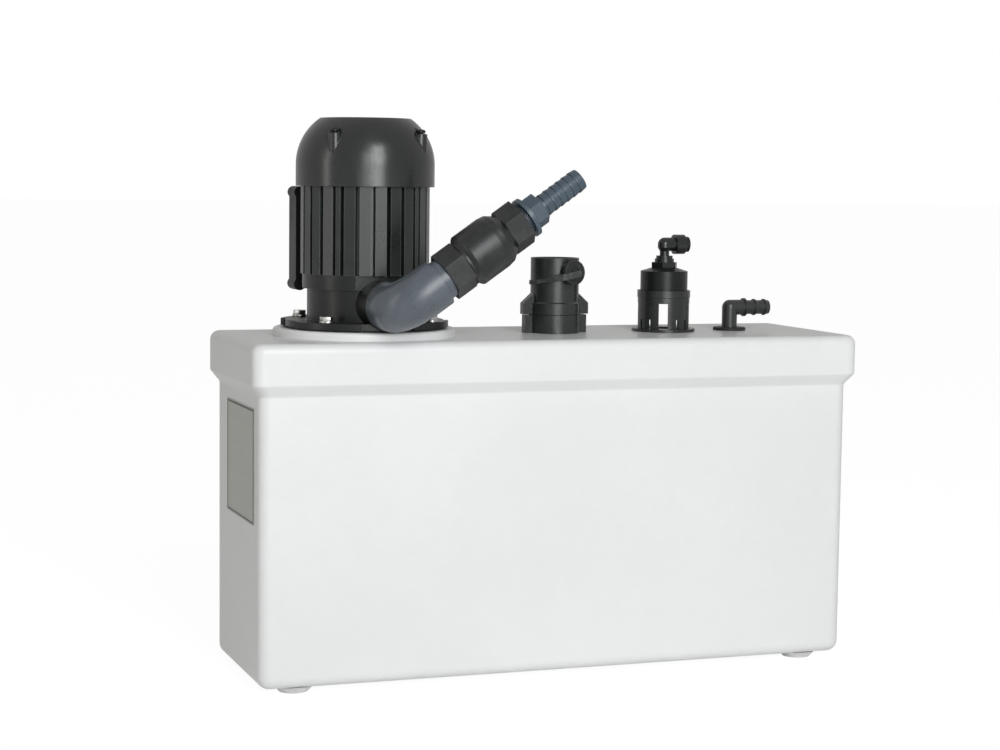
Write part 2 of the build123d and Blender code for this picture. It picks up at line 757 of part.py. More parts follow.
with BuildPart() as stator_housing:
    with BuildSketch(level(pump_x, frame_z)):
        Circle(frame_root_radius)
        for direction, width in fins:
            with PolarLocations(frame_bore_radius, 1, start_angle=direction):
                Rectangle(2 * (fin_radius - frame_bore_radius), width)
        with Locations((0, fin_radius)):
            Rectangle(2 * box_pad_half_width, 2 * fin_radius - 2 * frame_root_radius / math.sqrt(2),
                      mode=Mode.SUBTRACT)
        Circle(frame_root_radius)
        with Locations((0, box_pad_reach / 2)):
            Rectangle(2 * box_pad_half_width, box_pad_reach)
        Circle(frame_bore_radius, mode=Mode.SUBTRACT)
    extrude(amount=frame_top_z - frame_z)
    # the pad's corners stop under the fan cover
    tube(level(pump_x, cover_z), frame_overlap, 2 * cover_radius, fin_radius + fit_gap, Mode.SUBTRACT)
    ring_of_discs(level(pump_x, frame_z), tie_circle_radius, tie_angles, frame_top_z - frame_z,
                  tie_radius + fit_gap, Mode.SUBTRACT)
save(stator_housing, "stator_housing")

with BuildPart() as stator_core:
    tube(level(pump_x, core_z), core_height, frame_bore_radius - run_gap, core_bore_radius)
save(stator_core, "stator_core")

with BuildPart() as stator_windings:
    tube(level(pump_x, core_z - winding_height), winding_height, winding_outer, winding_inner)
    tube(level(pump_x, core_top_z), winding_height, winding_outer, winding_inner)
    fillet(stator_windings.edges().group_by(Axis.Z)[0], winding_height / 3)
    fillet(stator_windings.edges().group_by(Axis.Z)[-1], winding_height / 3)
save(stator_windings, "stator_windings")

with BuildPart() as upper_end_shield:
    disc(level(pump_x, shield_z), shield_thickness, shield_radius)
    ring_of_discs(level(pump_x, shield_z), cover_boss_circle, cover_screw_angles,
                  shield_thickness + post_height, post_radius)
    disc(level(pump_x, upper_bearing_z), shield_top_z - upper_bearing_z + shield_hub_rise,
         shield_hub_radius)
    disc(level(pump_x, upper_bearing_z), bearing_height, bearing_radius + run_gap, Mode.SUBTRACT)
    disc(level(pump_x, shield_z), shield_thickness + shield_hub_rise,
         shaft_radius + shaft_hole_gap, Mode.SUBTRACT)
    ring_of_discs(level(pump_x, shield_z), tie_circle_radius, tie_angles,
                  shield_thickness, tie_radius + fit_gap, Mode.SUBTRACT)
    ring_of_discs(level(pump_x, shield_top_z), cover_boss_circle, cover_screw_angles, post_height,
                  cover_screw_radius + run_gap, Mode.SUBTRACT)
save(upper_end_shield, "upper_end_shield")

with BuildPart() as upper_bearing:
    tube(level(pump_x, upper_bearing_z), bearing_height, bearing_radius, shaft_radius + run_gap)
save(upper_bearing, "upper_bearing")

tie_low_z = bracket_z - tie_below_bracket + screw_end_gap

with BuildPart() as motor_tie_bolts:
    ring_of_discs(level(pump_x, tie_low_z), tie_circle_radius, tie_angles,
                  shield_top_z + tie_nut_height - tie_low_z, tie_radius)
    with BuildSketch(level(pump_x, shield_top_z)):
        with PolarLocations(tie_circle_radius, len(tie_angles), start_angle=tie_angles[0]):
            RegularPolygon(radius=tie_nut_flats / 2, side_count=6, major_radius=False)
    extrude(amount=tie_nut_height)
save(motor_tie_bolts, "motor_tie_bolts")

# Fan cover: cylinder, curved shoulder, flat grille on top
shoulder_z = cover_top_z - cover_shoulder
shoulder_step = cover_radius - cover_top_radius
shoulder_arc = (shoulder_step ** 2 + cover_shoulder ** 2) / (2 * shoulder_step)
shoulder_centre = cover_radius - shoulder_arc
arc_angle = math.asin(cover_shoulder / shoulder_arc) / 2


def cover_outline(wall):
    """Half section of the fan cover's outside, or of its inside with the wall taken off."""
    arc = shoulder_arc - wall
    rise_to_top = cover_shoulder - wall
    top_radius = shoulder_centre + math.sqrt(arc ** 2 - rise_to_top ** 2)
    with BuildSketch(upright(pump_x)) as section:
        with BuildLine():
            Line((0, cover_z), (cover_radius - wall, cover_z))
            Line((cover_radius - wall, cover_z), (cover_radius - wall, shoulder_z))
            ThreePointArc((cover_radius - wall, shoulder_z),
                          (shoulder_centre + arc * math.cos(arc_angle),
                           shoulder_z + arc * math.sin(arc_angle)),
                          (top_radius, shoulder_z + rise_to_top))
            Line((top_radius, shoulder_z + rise_to_top), (0, shoulder_z + rise_to_top))
            Line((0, shoulder_z + rise_to_top), (0, cover_z))
        make_face()
    return section.sketch


boss_top_z = cover_top_z - cover_boss_top
post_top_z = shield_top_z + post_height

with BuildPart() as cover_pockets:
    ring_of_discs(level(pump_x, post_top_z), cover_boss_circle, cover_screw_angles, cover_top_z - post_top_z,
                  cover_boss_radius + cover_pocket_wall)
    revolve(cover_outline(0), axis=pump_axis, mode=Mode.INTERSECT)

with BuildPart() as fan_cover:
    revolve(cover_outline(0), axis=pump_axis)
    revolve(cover_outline(cover_wall), axis=pump_axis, mode=Mode.SUBTRACT)
    add(cover_pockets.part)
    ring_of_discs(level(pump_x, post_top_z), cover_boss_circle, cover_screw_angles, boss_top_z - post_top_z,
                  cover_boss_radius)
    ring_of_discs(level(pump_x, boss_top_z), cover_boss_circle, cover_screw_angles, cover_boss_top,
                  cover_boss_radius, Mode.SUBTRACT)
    ring_of_discs(level(pump_x, post_top_z), cover_boss_circle, cover_screw_angles, boss_top_z - post_top_z,
                  cover_screw_radius + fit_gap, Mode.SUBTRACT)
    with BuildSketch(level(pump_x, cover_top_z - 2 * cover_wall)):
        for ring in range(grille_rings):
            Circle(grille_inner + ring * grille_pitch + grille_slot)
            Circle(grille_inner + ring * grille_pitch, mode=Mode.SUBTRACT)
        with PolarLocations(0, grille_spokes):
            Rectangle(2 * cover_radius, grille_spoke_width, mode=Mode.SUBTRACT)
    extrude(amount=3 * cover_wall, mode=Mode.SUBTRACT)
save(fan_cover, "fan_cover")

with BuildPart() as fan_cover_screws:
    ring_of_discs(level(pump_x, boss_top_z - cover_screw_length), cover_boss_circle, cover_screw_angles,
                  cover_screw_length, cover_screw_radius)
    ring_of_discs(level(pump_x, boss_top_z), cover_boss_circle, cover_screw_angles, cover_screw_head_height,
                  cover_screw_head)
save(fan_cover_screws, "fan_cover_screws")

# Terminal box behind the motor
box_y = tank_y + box_pad_reach
lid_y = box_y + box_depth


def back_plane(y):
    """Upright plane that faces the back, centred on the terminal box."""
    return Plane(origin=(pump_x, y, box_z), x_dir=(-1, 0, 0), z_dir=(0, 1, 0))


ear_x = box_half_width - ear_inset
ear_z = box_height / 2 - ear_inset

with BuildPart() as terminal_box:
    with BuildSketch(back_plane(box_y)):
        RectangleRounded(2 * box_half_width, box_height, box_corner)
        with GridLocations(2 * ear_x, 2 * ear_z, 2, 2):
            Circle(ear_radius)
    extrude(amount=box_depth)
    with BuildSketch(back_plane(box_y + box_wall)):
        RectangleRounded(2 * (box_half_width - box_wall), box_height - 2 * box_wall, box_corner - box_wall)
        with GridLocations(2 * ear_x, 2 * ear_z, 2, 2):
            Circle(ear_radius, mode=Mode.SUBTRACT)
    extrude(amount=box_depth, mode=Mode.SUBTRACT)
    with BuildSketch(back_plane(lid_y - lid_screw_length + lid_thickness)):
        with GridLocations(2 * ear_x, 2 * ear_z, 2, 2):
            Circle(lid_screw_radius + run_gap)
    extrude(amount=lid_screw_length, mode=Mode.SUBTRACT)
    with BuildSketch(Plane(origin=(pump_x, box_y + box_depth / 2, box_z), z_dir=(1, 0, 0))):
        Circle(gland_radius + fit_gap)
    extrude(amount=box_half_width + merge, mode=Mode.SUBTRACT)
save(terminal_box, "terminal_box")

with BuildPart() as terminal_box_lid:
    with BuildSketch(back_plane(lid_y)):
        RectangleRounded(2 * box_half_width, box_height, box_corner)
        with GridLocations(2 * ear_x, 2 * ear_z, 2, 2):
            Circle(ear_radius)
    extrude(amount=lid_thickness)
    with BuildSketch(back_plane(lid_y)):
        RectangleRounded(2 * (box_half_width - box_wall), box_height - 2 * box_wall, box_corner - box_wall)
        with GridLocations(2 * ear_x, 2 * ear_z, 2, 2):
            Circle(ear_radius, mode=Mode.SUBTRACT)
    extrude(amount=lid_thickness - box_wall, mode=Mode.SUBTRACT)
    with BuildSketch(back_plane(lid_y)):
        with GridLocations(2 * ear_x, 2 * ear_z, 2, 2):
            Circle(lid_screw_radius + fit_gap)
    extrude(amount=lid_thickness, mode=Mode.SUBTRACT)
    fillet(terminal_box_lid.faces().sort_by(Axis.Y)[-1].outer_wire().edges(), lid_round)
save(terminal_box_lid, "terminal_box_lid")

with BuildPart() as terminal_lid_screws:
    with BuildSketch(back_plane(lid_y + lid_thickness - lid_screw_length)):
        with GridLocations(2 * ear_x, 2 * ear_z, 2, 2):
            Circle(lid_screw_radius)
    extrude(amount=lid_screw_length)
    with BuildSketch(back_plane(lid_y + lid_thickness)):
        with GridLocations(2 * ear_x, 2 * ear_z, 2, 2):
            Circle(lid_screw_head)
    extrude(amount=lid_screw_head_height)
save(terminal_lid_screws, "terminal_lid_screws")

with BuildPart() as terminal_block:
    with BuildSketch(back_plane(box_y + box_wall)):
        Rectangle(block_width, block_height)
    extrude(amount=block_depth)
    with BuildSketch(back_plane(box_y + box_wall + block_depth)):
        with GridLocations(block_width / 3, block_height / 2, 3, 2):
            Circle(block_height / 6)
    extrude(amount=-block_depth / 2, mode=Mode.SUBTRACT)
save(terminal_block, "terminal_block")


def gland_plane(x):
    """Plane square to the cable gland, at a distance from the pump axis."""
    return Plane(origin=(pump_x + x, box_y + box_depth / 2, box_z), x_dir=(0, 0, 1), z_dir=(1, 0, 0))


gland_inner_x = box_half_width - 2 * box_wall
gland_sleeve_x = box_half_width + gland_hex_length
gland_sleeve_radius = gland_radius - gland_thread_depth

with BuildPart() as gland_body:
    disc(gland_plane(gland_inner_x), box_half_width - gland_inner_x, gland_radius)
    hexagon(gland_plane(box_half_width), gland_hex_length, gland_hex_flats)
    disc(gland_plane(gland_sleeve_x), gland_nut_length - box_wall, gland_sleeve_radius)
    disc(gland_plane(gland_inner_x), 2 * gland_nut_length + box_half_width, gland_bore_radius, Mode.SUBTRACT)
save(gland_body, "gland_body")

with BuildPart() as gland_nut:
    hexagon(gland_plane(gland_sleeve_x), gland_nut_length / 2, gland_hex_flats)
    disc(gland_plane(gland_sleeve_x), gland_nut_length, gland_hex_flats / 2)
    fillet(gland_nut.faces().sort_by(Axis.X)[-1].edges(), gland_hex_flats / 6)
    disc(gland_plane(gland_sleeve_x), gland_nut_length - box_wall + fit_gap, gland_sleeve_radius + fit_gap,
         Mode.SUBTRACT)
    disc(gland_plane(gland_sleeve_x), gland_nut_length, gland_bore_radius + fit_gap, Mode.SUBTRACT)
save(gland_nut, "gland_nut")

# Rotor
impeller_z = casing_z + vane_gap
impeller_plate_z = impeller_z + vane_height
shaft_low_z = impeller_z - impeller_nut_height

with BuildPart() as motor_shaft:
    disc(level(pump_x, shaft_low_z), fan_top_z - shaft_low_z, shaft_radius)
    chamfer(motor_shaft.edges(), shaft_radius / 10)
save(motor_shaft, "motor_shaft")

rotor_radius = core_bore_radius - air_gap

with BuildPart() as rotor_core:
    tube(level(pump_x, core_z), core_height, rotor_radius, shaft_radius + fit_gap)
    for start in (core_z - end_ring_height, core_top_z):
        tube(level(pump_x, start), end_ring_height, rotor_radius - air_gap, shaft_radius + end_ring_height)
save(rotor_core, "rotor_core")

with BuildPart() as cooling_fan:
    disc(level(pump_x, fan_z), fan_height, fan_hub_radius)
    disc(level(pump_x, fan_z), fan_blade, fan_radius)
    with BuildSketch(level(pump_x, fan_z)):
        with PolarLocations(fan_radius / 2, fan_blade_count):
            Rectangle(fan_radius, fan_blade)
    extrude(amount=fan_height - fan_blade)
    disc(level(pump_x, fan_z), fan_height, shaft_radius + fit_gap, Mode.SUBTRACT)
save(cooling_fan, "cooling_fan")

with BuildPart() as impeller:
    disc(level(pump_x, impeller_plate_z), impeller_plate, impeller_radius)
    disc(level(pump_x, impeller_z), vane_height + 2 * impeller_plate, impeller_hub_radius)
    with BuildSketch(level(pump_x, impeller_z)):
        for vane in range(vane_count):
            turn = 360 * vane / vane_count
            with BuildLine():
                ThreePointArc(polar(impeller_hub_radius - merge, turn),
                              polar((impeller_hub_radius + impeller_radius) / 2, turn - vane_lean),
                              polar(impeller_radius - vane_inset, turn - vane_sweep))
            trace(line_width=vane_thickness)
    extrude(amount=vane_height)
    disc(level(pump_x, impeller_z), vane_height + 2 * impeller_plate, shaft_radius + fit_gap, Mode.SUBTRACT)
save(impeller, "impeller")

with BuildPart() as impeller_nut:
    hexagon(level(pump_x, shaft_low_z), impeller_nut_height, impeller_nut_flats)
    disc(level(pump_x, shaft_low_z), impeller_nut_height, shaft_radius + fit_gap, Mode.SUBTRACT)
save(impeller_nut, "impeller_nut")

# Discharge line: elbow, adaptor, check valve and hose nozzle
corner = Vector(pump_x, line_y, outlet_z)
elbow_in = Vector(pump_x, boss_y, outlet_z)
elbow_out = line_origin + line_along * elbow_leg
collar_end = elbow_leg + collar_length
valve_seat = collar_end + valve_hex_length + valve_neck_length
barrel_start = collar_end + valve_hex_length
barrel_end = barrel_start + valve_barrel_length
valve_end_station = barrel_end + outlet_hex_length

with BuildPart() as discharge_elbow:
    with BuildLine():
        FilletPolyline(elbow_in, corner, elbow_out, radius=elbow_bend)
    with BuildSketch(Plane(origin=elbow_in, x_dir=(1, 0, 0), z_dir=(0, -1, 0))):
        Circle(elbow_radius)
    sweep()
    fillet(discharge_elbow.edges().filter_by(GeomType.CIRCLE).sort_by(Axis.Y)[-1], elbow_rim_round)
    with BuildLine():
        FilletPolyline(elbow_in, corner, elbow_out, radius=elbow_bend)
    with BuildSketch(Plane(origin=elbow_in, x_dir=(1, 0, 0), z_dir=(0, -1, 0))):
        Circle(elbow_bore_radius)
    sweep(mode=Mode.SUBTRACT)
    disc(Plane(origin=elbow_in, x_dir=(1, 0, 0), z_dir=(0, -1, 0)),
         elbow_socket_depth, spigot_radius + fit_gap, Mode.SUBTRACT)
    disc(station(elbow_leg - elbow_socket_depth), elbow_socket_depth, spigot_radius + fit_gap, Mode.SUBTRACT)
save(discharge_elbow, "discharge_elbow")

with BuildPart() as elbow_adaptor:
    disc(station(elbow_leg - spigot_length), spigot_length, spigot_radius)
    disc(station(elbow_leg), collar_length, collar_radius)
    disc(station(collar_end), nipple_thread, thread_radius)
    disc(station(elbow_leg - spigot_length), spigot_length + collar_length + nipple_thread, line_bore_radius,
         Mode.SUBTRACT)
save(elbow_adaptor, "elbow_adaptor")

with BuildPart() as valve_end:
    hexagon(station(collar_end), valve_hex_length, valve_hex_flats)
    disc(station(barrel_start), valve_neck_length, valve_neck_radius)
    disc(station(collar_end), nipple_thread + screw_end_gap, thread_radius + fit_gap, Mode.SUBTRACT)
    disc(station(collar_end), valve_hex_length + valve_neck_length, line_bore_radius, Mode.SUBTRACT)
save(valve_end, "valve_end")

outlet_hex_radius = outlet_hex_flats / 2
guide_start = valve_seat + guide_from_seat

with BuildPart() as valve_barrel:
    turned(line_profile, line_axis,
           [(barrel_start, 0),
            (barrel_start, valve_barrel_radius - barrel_lip_step),
            (barrel_start + barrel_lip_length, valve_barrel_radius - barrel_lip_step),
            (barrel_start + barrel_lip_length + barrel_shoulder, valve_barrel_radius),
            (barrel_end - barrel_taper_start, valve_barrel_radius),
            (barrel_end - barrel_taper_end, valve_barrel_radius - barrel_taper_step),
            (barrel_end, outlet_hex_radius),
            (barrel_end, 0)])
    fillet(valve_barrel.edges().filter_by(GeomType.CIRCLE).filter_by(
        lambda edge: edge.radius > valve_barrel_radius - barrel_taper_step - run_gap), barrel_round)
    hexagon(station(barrel_end), outlet_hex_length, outlet_hex_flats)
    turned(line_profile, line_axis,
           [(barrel_start, 0),
            (barrel_start, valve_neck_radius + fit_gap),
            (valve_seat + seat_gap, valve_neck_radius + fit_gap),
            (valve_seat + seat_gap, valve_chamber_radius),
            (guide_start + guide_length, valve_chamber_radius),
            (barrel_end, thread_radius + fit_gap),
            (valve_end_station, thread_radius + fit_gap),
            (valve_end_station, 0)],
           Mode.SUBTRACT)
    with BuildSketch(station(guide_start)):
        with PolarLocations((valve_chamber_radius + merge) / 2, 3):
            Rectangle(valve_chamber_radius + merge, guide_rib)
        Circle(guide_radius)
    extrude(amount=guide_length)
    disc(station(guide_start), guide_length, poppet_stem_radius + slide_gap, Mode.SUBTRACT)
save(valve_barrel, "valve_barrel")

poppet_start = valve_seat + seat_gap + poppet_seal_thickness

with BuildPart() as valve_poppet:
    disc(station(poppet_start), poppet_thickness, poppet_radius)
    disc(station(poppet_start), poppet_thickness + poppet_stem_length, poppet_stem_radius)
    disc(station(poppet_start - poppet_seal_thickness), poppet_seal_thickness, poppet_stem_radius)
save(valve_poppet, "valve_poppet")

with BuildPart() as poppet_seal:
    tube(station(valve_seat + seat_gap), poppet_seal_thickness,
         poppet_radius - poppet_rim, poppet_stem_radius)
save(poppet_seal, "poppet_seal")

spring_start = poppet_start + poppet_thickness + spring_wire_radius + fit_gap
spring_length = guide_start - spring_start - spring_wire_radius - fit_gap

with BuildPart() as valve_spring:
    with BuildLine() as coil:
        Helix(pitch=spring_length / spring_turns, height=spring_length,
              radius=spring_radius - spring_wire_radius,
              center=line_origin + line_along * spring_start, direction=line_along)
    with BuildSketch(Plane(origin=coil.line @ 0, z_dir=coil.line % 0)):
        Circle(spring_wire_radius)
    sweep(is_frenet=True)
save(valve_spring, "valve_spring")

nozzle_start = valve_end_station + nozzle_thread_rings * thread_ring_pitch
nozzle_hex_start = nozzle_start + nozzle_flange_thickness
barb_start = nozzle_hex_start + nozzle_hex_length
barb_end = barb_start + barb_length
barb_pitch = (barb_length - barb_first) / barb_count

barb_points = [(barb_start, 0), (barb_start, barb_root_radius)]
for barb in range(barb_count):
    crest = barb_start + barb_first + barb * barb_pitch
    barb_points.append((crest, barb_root_radius))
    barb_points.append((crest, barb_crest_radius))
    barb_points.append((crest + barb_land, barb_crest_radius))
barb_points.append((barb_end, barb_root_radius))
barb_points.append((barb_end, 0))

with BuildPart() as hose_nozzle:
    disc(station(nozzle_start - nozzle_thread_length), nozzle_thread_length, thread_radius - thread_depth)
    for ring in range(nozzle_thread_rings):
        disc(station(valve_end_station + thread_ring_start + ring * thread_ring_pitch), thread_ring_width,
             thread_radius)
    disc(station(nozzle_start), nozzle_flange_thickness, nozzle_flange_radius)
    hexagon(station(nozzle_hex_start), nozzle_hex_length, nozzle_hex_flats)
    turned(line_profile, line_axis, barb_points)
    disc(station(nozzle_start - nozzle_thread_length), nozzle_thread_length + barb_end - nozzle_start,
         nozzle_bore_radius, Mode.SUBTRACT)
save(hose_nozzle, "hose_nozzle")

# DN 40 inlet: fixed collar, tube that locks in it by a part turn, side port with its plug
collar_top_z = top_z + inlet_collar_height
inlet_body_top_z = collar_top_z + inlet_body_height
inlet_top_z = top_z + inlet_tube_height
port_z = top_z + port_height
port_turn = math.radians(port_angle)
port_out = Vector(math.cos(port_turn), math.sin(port_turn), 0)
port_side = Vector(math.sin(port_turn), -math.cos(port_turn), 0)
port_origin = Vector(inlet_x, tank_y, port_z)


def port_plane(distance):
    """Upright plane square to the side port, at a distance from the tube's axis."""
    return Plane(origin=port_origin + port_out * distance, x_dir=(0, 0, 1), z_dir=port_out)


with BuildPart() as inlet_collar:
    disc(level(inlet_x, top_z), inlet_collar_height, inlet_collar_radius)
    disc(level(inlet_x, top_z - inlet_tail_drop), inlet_tail_drop, inlet_tail_radius)
    with BuildSketch(level(inlet_x, top_z)):
        with PolarLocations(inlet_collar_radius, 2):
            Rectangle(2 * (wing_reach - inlet_collar_radius - wing_inset), wing_width)
    extrude(amount=inlet_collar_height - lock_gap)
    disc(level(inlet_x, collar_top_z - inlet_spigot_length - fit_gap), inlet_spigot_length + fit_gap,
         inlet_spigot_radius + slide_gap, Mode.SUBTRACT)
    disc(level(inlet_x, top_z - inlet_tail_drop), inlet_tail_drop + inlet_collar_height, inlet_stop_radius,
         Mode.SUBTRACT)
save(inlet_collar, "inlet_collar")

ring_z = collar_top_z - inlet_spigot_length / 2

with BuildPart() as inlet_tube:
    turned(upright(inlet_x), inlet_axis,
           [(0, collar_top_z + lock_gap),
            (inlet_collar_radius, collar_top_z + lock_gap),
            (inlet_collar_radius, inlet_body_top_z),
            (inlet_tube_radius, inlet_body_top_z + inlet_cone_height),
            (inlet_tube_radius, inlet_top_z),
            (0, inlet_top_z)])
    # two wings with sloped tops, each with a hook that reaches down beside the collar's lug
    with BuildSketch(upright(inlet_x)):
        with BuildLine():
            Polyline((-wing_reach, collar_top_z + lock_gap),
                     (wing_reach, collar_top_z + lock_gap),
                     (wing_reach, inlet_body_top_z),
                     (inlet_tube_radius, inlet_body_top_z + wing_slope),
                     (-inlet_tube_radius, inlet_body_top_z + wing_slope),
                     (-wing_reach, inlet_body_top_z),
                     close=True)
        make_face()
    extrude(amount=wing_width / 2, both=True)
    disc(level(inlet_x, collar_top_z - inlet_spigot_length),
         inlet_spigot_length + lock_gap, inlet_spigot_radius)
    disc(port_plane(0), port_reach, port_radius)
    turned(upright(inlet_x), inlet_axis,
           [(0, inlet_top_z - inlet_mouth_chamfer),
            (inlet_bore_radius, inlet_top_z - inlet_mouth_chamfer),
            (inlet_bore_radius + inlet_mouth_chamfer, inlet_top_z),
            (0, inlet_top_z)], Mode.SUBTRACT)
    disc(level(inlet_x, collar_top_z - inlet_spigot_length), through, inlet_bore_radius, Mode.SUBTRACT)
    disc(port_plane(0), port_reach, port_bore_radius, Mode.SUBTRACT)
    turned(upright(inlet_x), inlet_axis,
           [(inlet_spigot_radius - inlet_ring_wire, ring_z - inlet_ring_wire),
            (inlet_spigot_radius + merge, ring_z - inlet_ring_wire),
            (inlet_spigot_radius + merge, ring_z + inlet_ring_wire),
            (inlet_spigot_radius - inlet_ring_wire, ring_z + inlet_ring_wire)], Mode.SUBTRACT)
save(inlet_tube, "inlet_tube")

with BuildPart() as inlet_o_ring:
    with BuildSketch(upright(inlet_x)):
        with Locations((inlet_spigot_radius - inlet_ring_wire + (inlet_ring_wire + slide_gap) / 2, ring_z)):
            Ellipse((inlet_ring_wire + slide_gap) / 2 - fit_gap / 2, inlet_ring_wire - fit_gap)
    revolve(axis=inlet_axis)
save(inlet_o_ring, "inlet_o_ring")

with BuildPart() as port_plug:
    disc(port_plane(port_reach - plug_stem_length), plug_stem_length, plug_stem_radius)
    disc(port_plane(port_reach), plug_cap_thickness, plug_cap_radius)
    fillet(port_plug.faces().sort_by(Axis(port_origin, port_out))[-1].edges(), plug_round)
    disc(port_plane(port_reach - plug_stem_length), plug_stem_length - plug_wall,
         plug_stem_radius - plug_wall, Mode.SUBTRACT)
save(port_plug, "port_plug")

# the strap is a ring round the tube with a tongue that leaves it at a tangent, bends round the cap's rim
# and lies flat on the cap's face
strap_z = top_z + strap_level
strap_middle = inlet_tube_radius + fit_gap + strap_thickness / 2
strap_side = strap_middle + strap_lift
face_reach = port_reach + plug_cap_thickness + strap_thickness / 2
bend_side = plug_cap_radius + strap_past_cap
bend_reach = math.hypot(face_reach, bend_side)
leaving_angle = port_angle - math.degrees(math.atan(bend_side / face_reach)
                                          + math.acos(strap_side / bend_reach))
strap_foot = Vector(*polar(strap_side, leaving_angle))
strap_knee = port_out * face_reach + port_side * bend_side
strap_tip = port_out * face_reach - port_side * (strap_past_centre + strap_end_height / 2)
foot_side = strap_foot.dot(port_side)

with BuildPart() as plug_strap:
    with BuildSketch(level(inlet_x, strap_z - strap_height)):
        with BuildLine():
            FilletPolyline(strap_foot, strap_knee, strap_tip, radius=strap_bend)
        trace(line_width=strap_thickness)
    extrude(amount=port_height)
    # seen along the port, the tongue rises and widens towards its round end
    with BuildSketch(port_plane(0)):
        with Locations((strap_level - port_height, foot_side)):
            Circle(strap_foot_height / 2)
        with Locations((-strap_end_drop, -strap_past_centre)):
            Circle(strap_end_height / 2)
        make_hull()
    extrude(amount=2 * face_reach, mode=Mode.INTERSECT)
    tube(level(inlet_x, strap_z - strap_height / 2), strap_height, strap_middle + strap_thickness / 2,
         inlet_tube_radius + fit_gap)
save(plug_strap, "plug_strap")

# Air-gap inlet: open cage, cup, nut, push-fit elbow
cage_top_z = top_z + cage_height
cup_low_z = cage_top_z - cup_sleeve
cup_top_z = cage_top_z + cup_height
nut_z = cup_top_z + cup_cone
nut_step_z = nut_z + nut_height
nut_neck_z = nut_step_z + nut_step_height
push_z = top_z + push_axis_height
drip_z = push_z - stem_drop
window_z = top_z + cage_flange_thickness
stem_hole_radius = push_stem_radius + run_gap

with BuildPart() as airgap_base:
    tube(level(airgap_x, top_z), cage_flange_thickness, cage_flange_radius, cage_drain_radius)
    tube(level(airgap_x, top_z - cage_tail_drop), cage_tail_drop, cage_tail_radius, cage_drain_radius)
save(airgap_base, "airgap_base")

with BuildPart() as airgap_cage:
    disc(level(airgap_x, window_z), cage_top_z - window_z, cage_radius)
    disc(level(airgap_x, cage_top_z - cage_rim_height), cage_rim_height, cage_rim_radius)
    disc(level(airgap_x, window_z), cage_height, cage_radius - cage_wall, Mode.SUBTRACT)
    with BuildSketch(level(airgap_x, window_z)):
        with PolarLocations(cage_radius, 4, start_angle=window_turn):
            Rectangle(4 * cage_wall, window_width)
    extrude(amount=window_height, mode=Mode.SUBTRACT)
    with BuildSketch(level(airgap_x, window_z)):
        with PolarLocations(cage_radius, 4, start_angle=window_turn + slit_offset):
            Rectangle(4 * cage_wall, slit_width)
        with PolarLocations(cage_radius, 4, start_angle=window_turn - slit_offset):
            Rectangle(4 * cage_wall, slit_width)
    extrude(amount=slit_height, mode=Mode.SUBTRACT)
save(airgap_cage, "airgap_cage")

with BuildPart() as airgap_cup:
    turned(upright(airgap_x), airgap_axis,
           [(0, cup_low_z),
            (cage_radius - cage_wall - fit_gap, cup_low_z),
            (cage_radius - cage_wall - fit_gap, cage_top_z),
            (cup_radius, cage_top_z),
            (cup_radius, cup_top_z),
            (cup_crown_radius, nut_z),
            (0, nut_z)])
    turned(upright(airgap_x), airgap_axis,
           [(0, cup_low_z),
            (cup_radius - cup_wall, cup_low_z),
            (cup_radius - cup_wall, cup_top_z - cup_wall),
            (nut_step_radius, nut_z - cup_wall),
            (0, nut_z - cup_wall)], Mode.SUBTRACT)
    disc(level(airgap_x, cup_top_z - cup_wall), through, nut_tail_radius + fit_gap, Mode.SUBTRACT)
save(airgap_cup, "airgap_cup")

with BuildPart() as airgap_nut:
    hexagon(level(airgap_x, nut_z), nut_height, nut_radius * math.sqrt(3))
    disc(level(airgap_x, nut_step_z), nut_step_height, nut_step_radius)
    disc(level(airgap_x, nut_neck_z), nut_neck_height, nut_neck_radius)
    disc(level(airgap_x, cup_top_z - cup_wall), nut_z - cup_top_z + cup_wall, nut_tail_radius)
    disc(level(airgap_x, cup_top_z - cup_wall), through, stem_hole_radius, Mode.SUBTRACT)
save(airgap_nut, "airgap_nut")


def push_plane(distance):
    """Plane square to the push-fit elbow's horizontal leg."""
    return Plane(origin=(airgap_x + distance, tank_y, push_z), x_dir=(0, 0, 1), z_dir=(1, 0, 0))


with BuildPart() as push_fit_elbow:
    turned(upright(airgap_x), airgap_axis,
           [(0, drip_z),
            (push_stem_radius, drip_z),
            (push_stem_radius, push_z - push_cone_low),
            (push_bend_radius, push_z - push_cone_high),
            (push_bend_radius, push_z),
            (0, push_z)])
    with Locations((airgap_x, tank_y, push_z)):
        Sphere(push_bend_radius)
    disc(push_plane(0), push_body_start + merge, push_bend_radius)
    disc(push_plane(push_body_start), push_body_end - push_body_start, push_body_radius)
    chamfer(push_fit_elbow.faces().sort_by(Axis.X)[-1].edges(), push_body_chamfer)
    disc(level(airgap_x, drip_z), push_z - drip_z, push_flow_radius, Mode.SUBTRACT)
    disc(push_plane(0), push_body_end, push_flow_radius, Mode.SUBTRACT)
    disc(push_plane(push_body_end - collet_length - collet_travel - fit_gap),
         collet_length + collet_travel + fit_gap, collet_sleeve_radius + slide_gap, Mode.SUBTRACT)
save(push_fit_elbow, "push_fit_elbow")

lip_x = push_body_end + collet_travel + fit_gap

with BuildPart() as push_fit_collet:
    disc(push_plane(lip_x), collet_lip, collet_lip_radius)
    disc(push_plane(push_body_end - collet_length),
         collet_length + collet_travel + fit_gap, collet_sleeve_radius)
    disc(push_plane(push_body_end - collet_length), through, push_tube_radius + run_gap, Mode.SUBTRACT)
save(push_fit_collet, "push_fit_collet")

# Overflow barb in its rubber grommet
barb_z = top_z + barb_elbow_height


def barb_plane(distance):
    """Plane square to the barb's horizontal tube."""
    return Plane(origin=(barb_x + distance, tank_y, barb_z), x_dir=(0, 0, 1), z_dir=(1, 0, 0))


